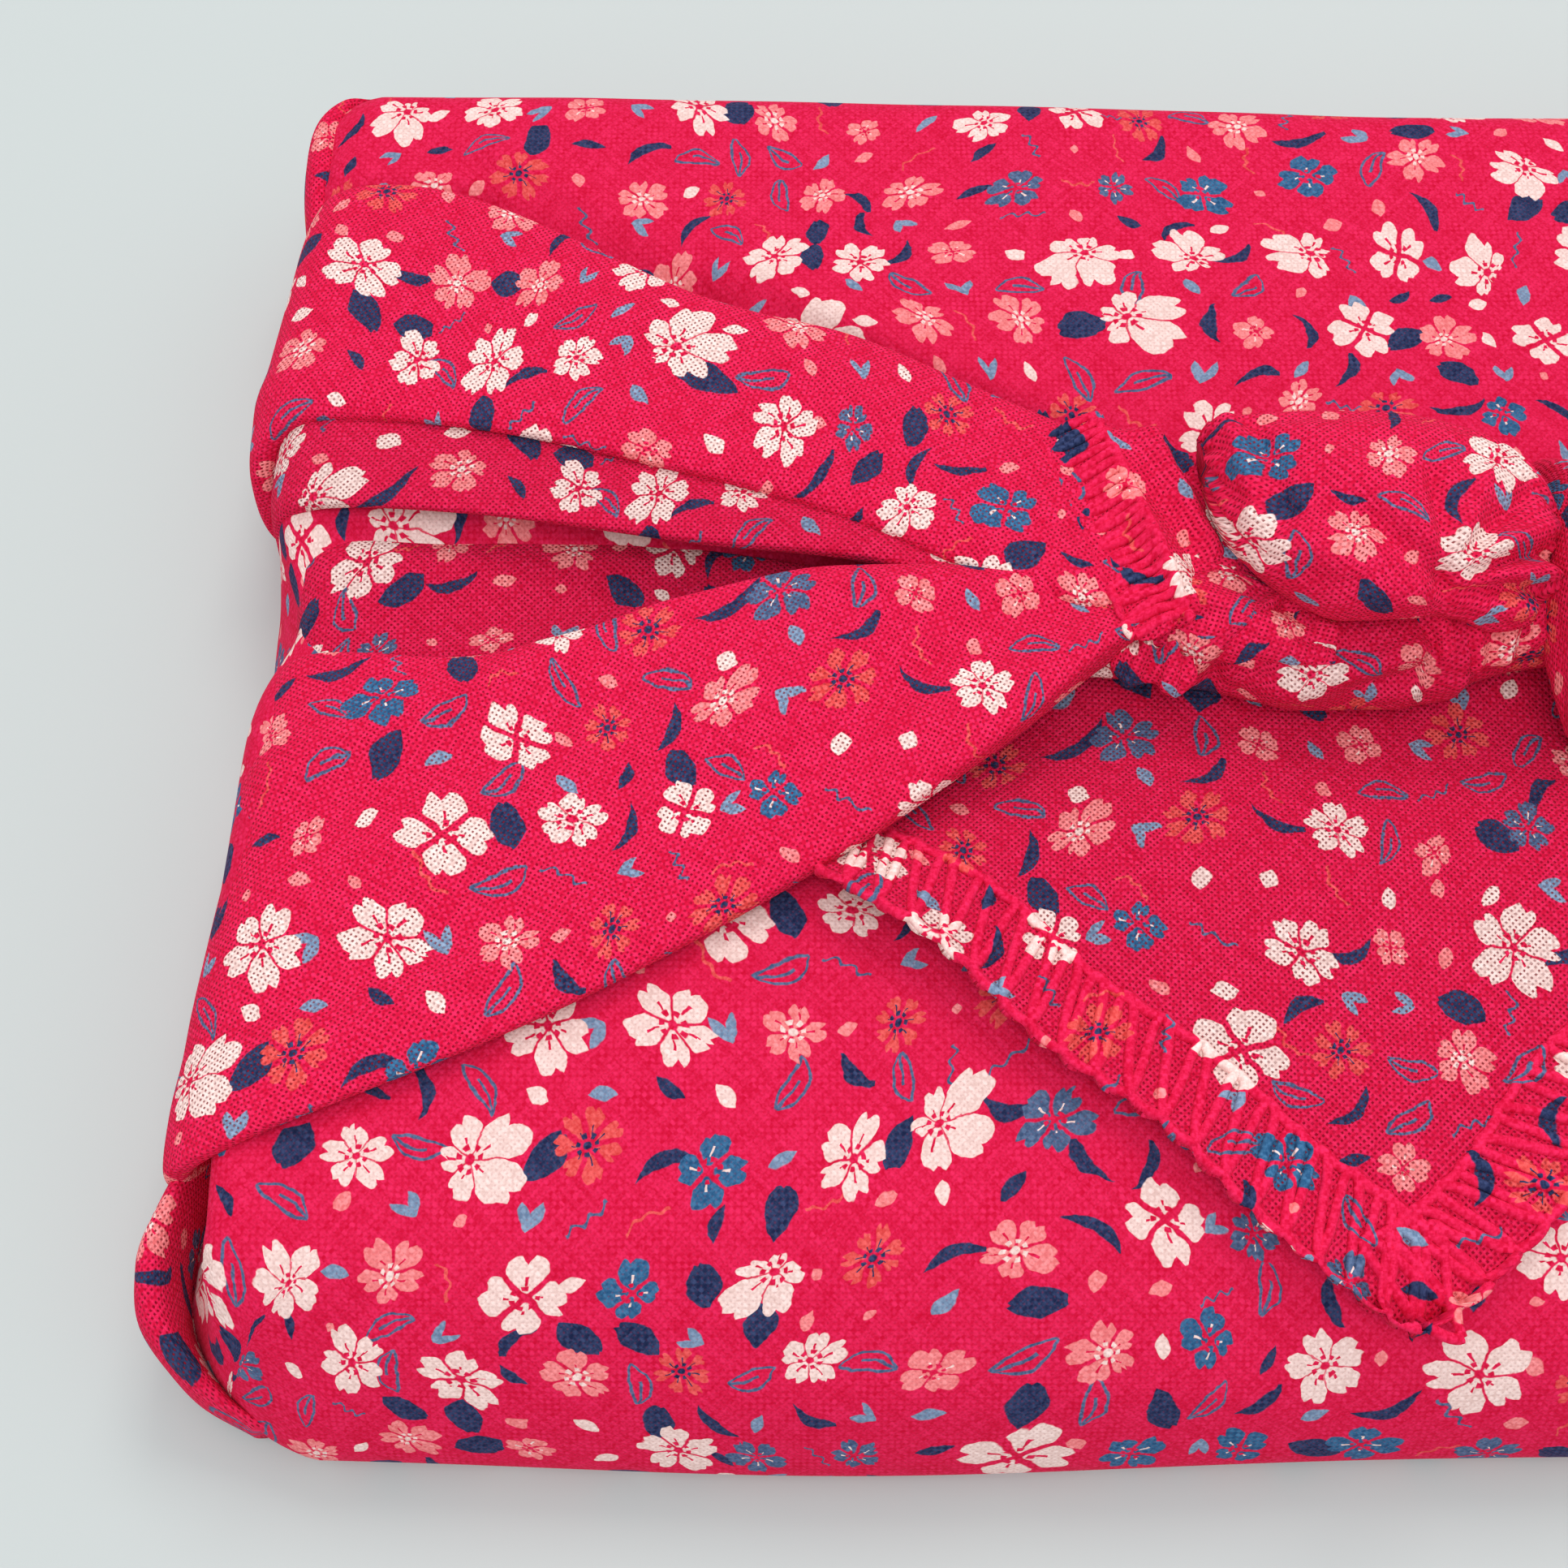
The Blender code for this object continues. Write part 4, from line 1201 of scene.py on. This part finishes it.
STANDING_CREASES = (
    Crease(-32.5, -3.6, -27.0, 0.4, 0.9, 0.6),
    Crease(-31.8, -4.4, -26.4, -0.4, -0.9, 0.6),
    Crease(-30.0, -6.8, -17.0, -3.6, 0.9, 0.7),
    Crease(-28.4, -7.6, -16.6, -5.0, -1.0, 0.6),
    Crease(-36.0, -3.0, -30.0, -5.6, -0.6, 0.7),
    Crease(-24.0, -6.4, -16.0, -4.0, 0.5, 0.7),
    Crease(-15.6, -2.0, -15.2, -6.5, -0.8, 0.7),
    Crease(-13.4, -1.0, -13.0, -6.0, 0.6, 0.7),
    Crease(-11.0, -1.0, -11.4, -6.0, -0.7, 0.7),
)
TAIL_CREASES = (
    Crease(-36.0, 15.5, -31.5, 6.0, 0.9, 1.0),
    Crease(-33.6, 13.0, -30.6, 6.0, -0.9, 0.9),
    Crease(-35.6, 9.0, -31.6, 1.5, -0.7, 0.9),
    Crease(-37.0, 8.0, -33.4, -0.5, 0.7, 0.8),
    Crease(-38.0, 5.0, -34.6, -1.0, -0.6, 0.7),
)
SLACK_CREASES = (
    Crease(-33.5, 4.0, -25.0, -1.5, -0.8, 0.8),
    Crease(-34.0, 1.5, -27.0, -3.0, 0.6, 0.8),
)
HEM_CREASES = (
    Crease(-40.0, -1.0, -36.0, -0.6, 0.45, 0.4),
    Crease(-40.0, -2.4, -36.4, -1.4, -0.45, 0.4),
    Crease(-38.6, -5.0, -36.6, -1.6, 0.45, 0.4),
    Crease(-37.2, -5.2, -35.8, -1.8, -0.45, 0.4),
    Crease(-35.6, -5.4, -34.8, -2.2, 0.45, 0.4),
    Crease(-34.2, -5.6, -33.8, -2.4, -0.45, 0.4),
)
LOW_HEM_CREASES = (
    Crease(-15.4, 0.0, -14.2, -4.6, 0.50, 0.5),
    Crease(-14.4, 0.0, -13.2, -4.8, -0.50, 0.5),
    Crease(-12.8, -0.4, -12.0, -5.2, 0.50, 0.5),
    Crease(-11.4, -0.4, -11.0, -5.0, -0.50, 0.5),
    Crease(-9.8, -0.4, -9.8, -4.6, 0.45, 0.5),
    Crease(-8.4, -0.4, -8.8, -4.0, -0.45, 0.5),
)
BAND_CREASES = (
    Crease(-5.0, 12.0, -4.4, -8.0, 0.9, 0.8),
    Crease(-3.0, 12.0, -2.2, -8.0, -1.0, 0.8),
    Crease(-0.8, 12.0, 0.2, -8.0, 0.7, 0.9),
    Crease(1.4, 12.0, 2.2, -8.0, -1.0, 0.8),
    Crease(3.6, 12.0, 4.2, -8.0, 0.9, 0.8),
)
TAIL_SHIFT = (4.5, -14.5)
KnotPart = namedtuple("KnotPart", "name rows squareness creases shift yarn_turn waves depth")
KNOT_PARTS = (
    # The standing part lies in the shade and takes the cotton painted darker: painted shade.
    KnotPart("standing_part", STANDING_PART, 2.2, STANDING_CREASES, (3.0, 9.0), 40.0, 9, 0.55),
    KnotPart("slack_fold", SLACK_FOLD, 2.2, SLACK_CREASES, (17.0, -4.0), 20.0, 8, 0.9),
    KnotPart("tail_end", TAIL_END, 3.0, TAIL_CREASES, TAIL_SHIFT, 60.0, 13, 0.45),
    KnotPart("curled_hem", CURLED_HEM, 2.2, HEM_CREASES, (1.0, 6.0), 30.0, 0, 0.0),
    KnotPart("curled_hem_low", LOW_HEM, 2.2, LOW_HEM_CREASES, (12.0, -8.0), 35.0, 5, 0.3),
    KnotPart("ear", EAR, 2.2, EAR_CREASES, (-8.0, 4.0), 52.0, 11, 0.7),
)
knot = []
for p in KNOT_PARTS:
    look = (p.shift, p.yarn_turn, p.waves, p.depth)
    knot.append(fold(f"{p.name}_left", p.rows, p.squareness, p.creases, *look))
    knot.append(fold(f"{p.name}_right", mirrored(p.rows), p.squareness, mirrored_creases(p.creases), *look))
knot.append(fold("knot_band", KNOT_BAND, 2.3, BAND_CREASES, (1.0, 5.0), waves=9, depth=0.9))
print(len(knot), "parts in the knot")

# %% [markdown]
# ## The flap
# The far corner of the cloth comes over the top and ends in a point on the near side. It is a
# real sheet, so it is modelled as one: rays from the point, between its two free edges, as far
# as the line where the pleats and the knot cover it. It is laid on the parcel and lifted a
# little along the free edges, with a thickness from Solidify. The left edge comes down again
# where the lower pleat holds it. Its edge is drawn in at every stitch, which gives the small
# waves.

# %% Lay the flap
FLAP_TIP = np.array([-20.4, -55.2])
FLAP_LEFT = np.array([-0.763, 0.646])
FLAP_RIGHT = np.array([0.690, 0.724])
FLAP_SIDE = 82.0
FLAP_ROWS = 160
FLAP_COLUMNS = 130
FarSpot = namedtuple("FarSpot", "x y")
FLAP_FAR = (FarSpot(-80, -6), FarSpot(-60, 1), FarSpot(-40, 3), FarSpot(35, 3))
LONGEST_RAY = 140
RAY_STEPS = 2801
FLAP_THICKNESS = 0.5
FLAP_SHIFT = (-6.0, 3.5)
FLAP_RIPPLE = 0.15
FLAP_CLEARANCE = 0.55
TIP_ROUNDING = 3.2
STITCH_WAVE = 0.28
SLOW_WAVE = 0.4
WAVE_REACH = 2.0
LEFT_LIFT = 3.2
LEFT_REACH = 6.5
RIGHT_LIFT = 0.75
RIGHT_REACH = 7.0
HELD_FROM = 62.0
HELD_OVER = 10.0
TIP_FADE_LEFT = 12.0
TIP_FADE_RIGHT = 9.0
SEAM_DEPTH = 0.2
SEAM_REACH = 0.7
STITCH_PITCH = 2.9
BAND_WIDTH = 6.6


def edge_wave(along, inwards, slow):
    """The waves of a free edge: a small one at every stitch, and slow ones."""
    wave = STITCH_WAVE * np.sin(2 * math.pi * along / STITCH_PITCH) + SLOW_WAVE * np.sin(along / slow)
    return wave * np.exp(-inwards / WAVE_REACH)


def flap_plan(p, q):
    """A point of the flap on the plan, p along its left edge and q along its right one."""
    x = FLAP_TIP[0] + p * FLAP_LEFT[0] + q * FLAP_RIGHT[0]
    y = FLAP_TIP[1] + p * FLAP_LEFT[1] + q * FLAP_RIGHT[1]
    near_tip = np.exp(-((p + q) / TIP_ROUNDING) ** 2)
    wave_left, wave_right = edge_wave(p, q, slow=3.1), edge_wave(q, p, slow=2.7)
    x = x + wave_left * FLAP_RIGHT[0] + wave_right * FLAP_LEFT[0]
    y = y + wave_left * FLAP_RIGHT[1] + wave_right * FLAP_LEFT[1] + 1.9 * near_tip
    return x, y


def flap_lift(p, q):
    """How far the flap stands off the parcel: more along its free edges, less at the needle line."""
    free = np.clip((HELD_FROM - p) / HELD_OVER, 0, 1)
    edge_left = (LEFT_LIFT + 0.7 * np.sin(p / 7.0 + 0.6)) * np.exp(-q / LEFT_REACH)
    edge_left = edge_left * (1 - np.exp(-p / TIP_FADE_LEFT)) * free
    edge_right = (RIGHT_LIFT + 0.3 * np.sin(q / 6.0)) * np.exp(-p / RIGHT_REACH)
    edge_right = edge_right * (1 - np.exp(-q / TIP_FADE_RIGHT))
    seam = -SEAM_DEPTH * np.exp(-((q - BAND_WIDTH) / SEAM_REACH) ** 2)
    seam = seam - SEAM_DEPTH * np.exp(-((p - BAND_WIDTH) / SEAM_REACH) ** 2)
    return FLAP_CLEARANCE + edge_left + edge_right + seam


def flap_far_side(x):
    """The line under the pleats and the knot at which the flap's own sheet stops."""
    return np.interp(x, [spot.x for spot in FLAP_FAR], [spot.y for spot in FLAP_FAR])


def flap():
    """The flap as a grid of points along rays from its tip, with a thickness."""
    across = (1 - np.cos(np.linspace(0, math.pi, FLAP_COLUMNS))) / 2
    reach = []
    for share in across:
        run = np.linspace(0, LONGEST_RAY, RAY_STEPS)
        x, y = flap_plan(run * (1 - share), run * share)
        reach.append(run[np.argmax(y > flap_far_side(x))])
    run = np.linspace(0, 1, FLAP_ROWS)[:, None] * np.array(reach)
    p, q = run * (1 - across), run * across
    x, y = flap_plan(p, q)
    z = top_height(x, y) + crease_height(x, y, HOLLOWS) + flap_lift(p, q)
    z = z + FLAP_RIPPLE * ripple(x, y, 8.0, 11)
    points = np.stack([x, y, z], axis=2)
    maps = np.stack([x + FLAP_SHIFT[0], y + FLAP_SHIFT[1]], axis=2)
    # The flap is cut from the darker cotton painted for the folds in the shade.
    piece = cloth_object("front_flap", points, maps, shaded_slack_cotton, yarn_turn=48.0)
    shape = bmesh.new()
    shape.from_mesh(piece.data)
    bmesh.ops.remove_doubles(shape, verts=shape.verts, dist=0.002 * MM)
    shape.to_mesh(piece.data)
    shape.free()
    if piece.data.polygons[0].normal.z < 0:
        piece.data.flip_normals()
    wall = piece.modifiers.new("cloth", "SOLIDIFY")
    wall.thickness = FLAP_THICKNESS * MM
    wall.offset = -1
    return piece


front_flap = flap()
print("flap:", len(front_flap.data.polygons), "faces")

# %% [markdown]
# ## The overlocked edge
# An overlocker trims the edge and wraps it in looped thread. Seen from above, each stitch is a
# narrow arch: two legs that start at the free edge, lean back and meet at the needle line. A
# short arc joins the feet round the edge, and the needle thread joins the crowns. That repeats
# along a path, so Geometry Nodes makes it: bezier strokes for one stitch, placed on evenly
# spaced points of the edge, turned to follow it, and given a round section. A plain function
# then drops the threads on to the cloth, because only the mesh knows how high it lies.

# %% Stitch along a path
THREAD_RADIUS = 0.4
THREAD_RISE = 0.05
STITCH_LEAN = 2.4
EDGE_INSET = 0.3
LINE_STEP = 0.4
HIDDEN_END = 4
ABOVE_ALL = 0.2
TAIL_STITCH = {"width": 4.4, "lean": 0.4, "pitch": 1.6}


def stitch_tree(material):
    """Geometry Nodes that run overlock stitches along a line on the plan."""
    tree = bpy.data.node_groups.new("overlock_edge", "GeometryNodeTree")
    tree.interface.new_socket("Geometry", in_out="INPUT", socket_type="NodeSocketGeometry")
    sizes = (("Pitch", STITCH_PITCH), ("Width", BAND_WIDTH), ("Lean", STITCH_LEAN), ("Thread", THREAD_RADIUS))
    for label, size in sizes:
        socket = tree.interface.new_socket(label, in_out="INPUT", socket_type="NodeSocketFloat")
        socket.default_value = size * MM
    tree.interface.new_socket("Geometry", in_out="OUTPUT", socket_type="NodeSocketGeometry")
    start, end = tree.nodes.new("NodeGroupInput"), tree.nodes.new("NodeGroupOutput")
    pitch, width, lean, thread = (start.outputs[label] for label, size in sizes)

    path = node(tree, "GeometryNodeMeshToCurve", start.outputs["Geometry"])
    spaced = tree.nodes.new("GeometryNodeResampleCurve")
    spaced.mode = "LENGTH"
    tree.links.new(path, spaced.inputs["Curve"])
    tree.links.new(pitch, spaced.inputs["Length"])

    def stroke(points):
        """A curve through two spots, bent by the two between them."""
        bezier = tree.nodes.new("GeometryNodeCurvePrimitiveBezierSegment")
        bezier.mode = "POSITION"
        bezier.inputs["Resolution"].default_value = 9
        for label, point in zip(("Start", "Start Handle", "End Handle", "End"), points):
            tree.links.new(point, bezier.inputs[label])
        return bezier.outputs[0]

    def leaned(along, up):
        """A spot of the stitch: a share of the pitch along and of the width up, leaned back."""
        upright = maths(tree, "MULTIPLY", pitch, along)
        x = maths(tree, "SUBTRACT", upright, maths(tree, "MULTIPLY", lean, up))
        return node(tree, "ShaderNodeCombineXYZ", x, maths(tree, "MULTIPLY", width, up), 0.0)

    foot, next_foot = leaned(0.0, 0.0), leaned(1.0, 0.0)
    crown, next_crown = leaned(0.5, 1.0), leaned(1.5, 1.0)
    strokes = (
        (foot, leaned(0.34, 0.30), leaned(0.12, 1.06), crown),
        (crown, leaned(0.88, 1.06), leaned(0.66, 0.30), next_foot),
        (foot, leaned(0.2, -0.07), leaned(0.8, -0.07), next_foot),
        (crown, leaned(0.8, 0.95), leaned(1.2, 0.95), next_crown),
    )
    stitch = tree.nodes.new("GeometryNodeJoinGeometry")
    for points in strokes:
        tree.links.new(stroke(points), stitch.inputs[0])

    placed = tree.nodes.new("GeometryNodeInstanceOnPoints")
    tree.links.new(spaced.outputs["Curve"], placed.inputs["Points"])
    tree.links.new(stitch.outputs[0], placed.inputs["Instance"])
    tangent = tree.nodes.new("GeometryNodeInputTangent").outputs[0]
    turn = tree.nodes.new("FunctionNodeAlignRotationToVector")
    turn.axis = "X"
    turn.pivot_axis = "Z"
    tree.links.new(tangent, turn.inputs["Vector"])
    tree.links.new(turn.outputs[0], placed.inputs["Rotation"])
    loose = node(tree, "GeometryNodeRealizeInstances", placed.outputs[0])
    section = tree.nodes.new("GeometryNodeCurvePrimitiveCircle")
    section.inputs["Resolution"].default_value = 7
    tree.links.new(thread, section.inputs["Radius"])
    threads = tree.nodes.new("GeometryNodeCurveToMesh")
    tree.links.new(loose, threads.inputs["Curve"])
    tree.links.new(section.outputs["Curve"], threads.inputs["Profile Curve"])
    threads.inputs["Fill Caps"].default_value = True
    smooth = node(tree, "GeometryNodeSetShadeSmooth", threads.outputs[0])
    painted = node(tree, "GeometryNodeSetMaterial", smooth)
    painted.node.inputs["Material"].default_value = material
    tree.links.new(painted, end.inputs["Geometry"])
    return tree


def laid_on(mesh, floor, rise):
    """Drops the points of a mesh made flat on to another piece, raised by a little."""
    graph = bpy.context.evaluated_depsgraph_get()
    tree = BVHTree.FromObject(floor, graph)
    top = max(v.co.z for v in floor.data.vertices)
    for vertex in mesh.vertices:
        hit = tree.ray_cast(Vector((vertex.co.x, vertex.co.y, ABOVE_ALL)), Vector((0, 0, -1)))[0]
        if hit is None:
            hit = tree.find_nearest(Vector((vertex.co.x, vertex.co.y, top)))[0]
        vertex.co.z += hit.z + rise * MM


def overlock(name, line, floor, shift, width=BAND_WIDTH, lean=STITCH_LEAN, pitch=STITCH_PITCH):
    """Overlock threads along a line of plan points, laid on a piece of cloth."""
    mesh = bpy.data.meshes.new(name)
    edges = [(i, i + 1) for i in range(len(line) - 1)]
    mesh.from_pydata([(x * MM, y * MM, 0) for x, y in line], edges, [])
    maker = bpy.data.objects.new(name + "_maker", mesh)
    bpy.context.scene.collection.objects.link(maker)
    sewing = maker.modifiers.new("overlock", "NODES")
    sewing.node_group = overlock_nodes
    sizes = {"Width": width, "Lean": lean, "Pitch": pitch}
    for item in overlock_nodes.interface.items_tree:
        if item.in_out == "INPUT" and item.name in sizes:
            sewing[item.identifier] = sizes[item.name] * MM
    graph = bpy.context.evaluated_depsgraph_get()
    made = bpy.data.meshes.new_from_object(maker.evaluated_get(graph))
    bpy.data.objects.remove(maker)
    made.name = name
    laid_on(made, floor, THREAD_RISE)
    corners = np.empty(len(made.loops), int)
    made.loops.foreach_get("vertex_index", corners)
    where = np.array([tuple(v.co) for v in made.vertices])[corners, :2]
    flat = where + np.array(shift) * MM
    for layer in ("cloth", "weave"):
        made.uv_layers.new(name=layer).data.foreach_set("uv", flat.ravel())
    made.materials.clear()
    made.materials.append(lit_thread_cotton)
    piece = bpy.data.objects.new(name, made)
    bpy.context.scene.collection.objects.link(piece)
    return piece


# The thread is painted brighter than the cloth under it: a painted highlight on the raised loops.
lit_thread_cotton = cotton("overlock_thread", 0.0, 0.2, 1.1)
overlock_nodes = stitch_tree(lit_thread_cotton)
along = np.arange(LINE_STEP, FLAP_SIDE - HIDDEN_END, LINE_STEP)
left_line = np.stack(flap_plan(along, 0 * along + EDGE_INSET), axis=1)[::-1]
right_line = np.stack(flap_plan(0 * along + EDGE_INSET, along), axis=1)
TAIL_LINE = np.array([(-44.0, 16.4), (-42.6, 11.8), (-41.2, 7.4), (-39.8, 3.0), (-38.6, -1.0)])
RIGHT_TAIL_LINE = TAIL_LINE[::-1] * (-1, RIGHT_SLIMMER) + (0, RIGHT_SHIFT + 0.5)
stitches = [overlock("flap_overlock_left", left_line, front_flap, FLAP_SHIFT)]
stitches.append(overlock("flap_overlock_right", right_line, front_flap, FLAP_SHIFT))
tail_left, tail_right = (piece for piece in knot if piece.name.startswith("tail_end"))
tail_stitches = [overlock("tail_overlock_left", TAIL_LINE, tail_left, TAIL_SHIFT, **TAIL_STITCH)]
tail_stitches.append(overlock("tail_overlock_right", RIGHT_TAIL_LINE, tail_right, TAIL_SHIFT, **TAIL_STITCH))
print("stitches:", [len(s.data.polygons) for s in stitches + tail_stitches])

# %% [markdown]
# ## Handing over
# Every piece rides on the one body, and together they stand for the solid.

# %% Attach and finish
pieces = [parcel_skin, front_flap, *pleats, *knot, *stitches, *tail_stitches]
for piece in pieces:
    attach(piece, "root")
    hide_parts("furoshiki_cloth")


hems = [piece for piece in knot if piece.name.startswith("curled_hem")]
for piece in [*pleats, *knot]:
    if piece in hems:
        continue
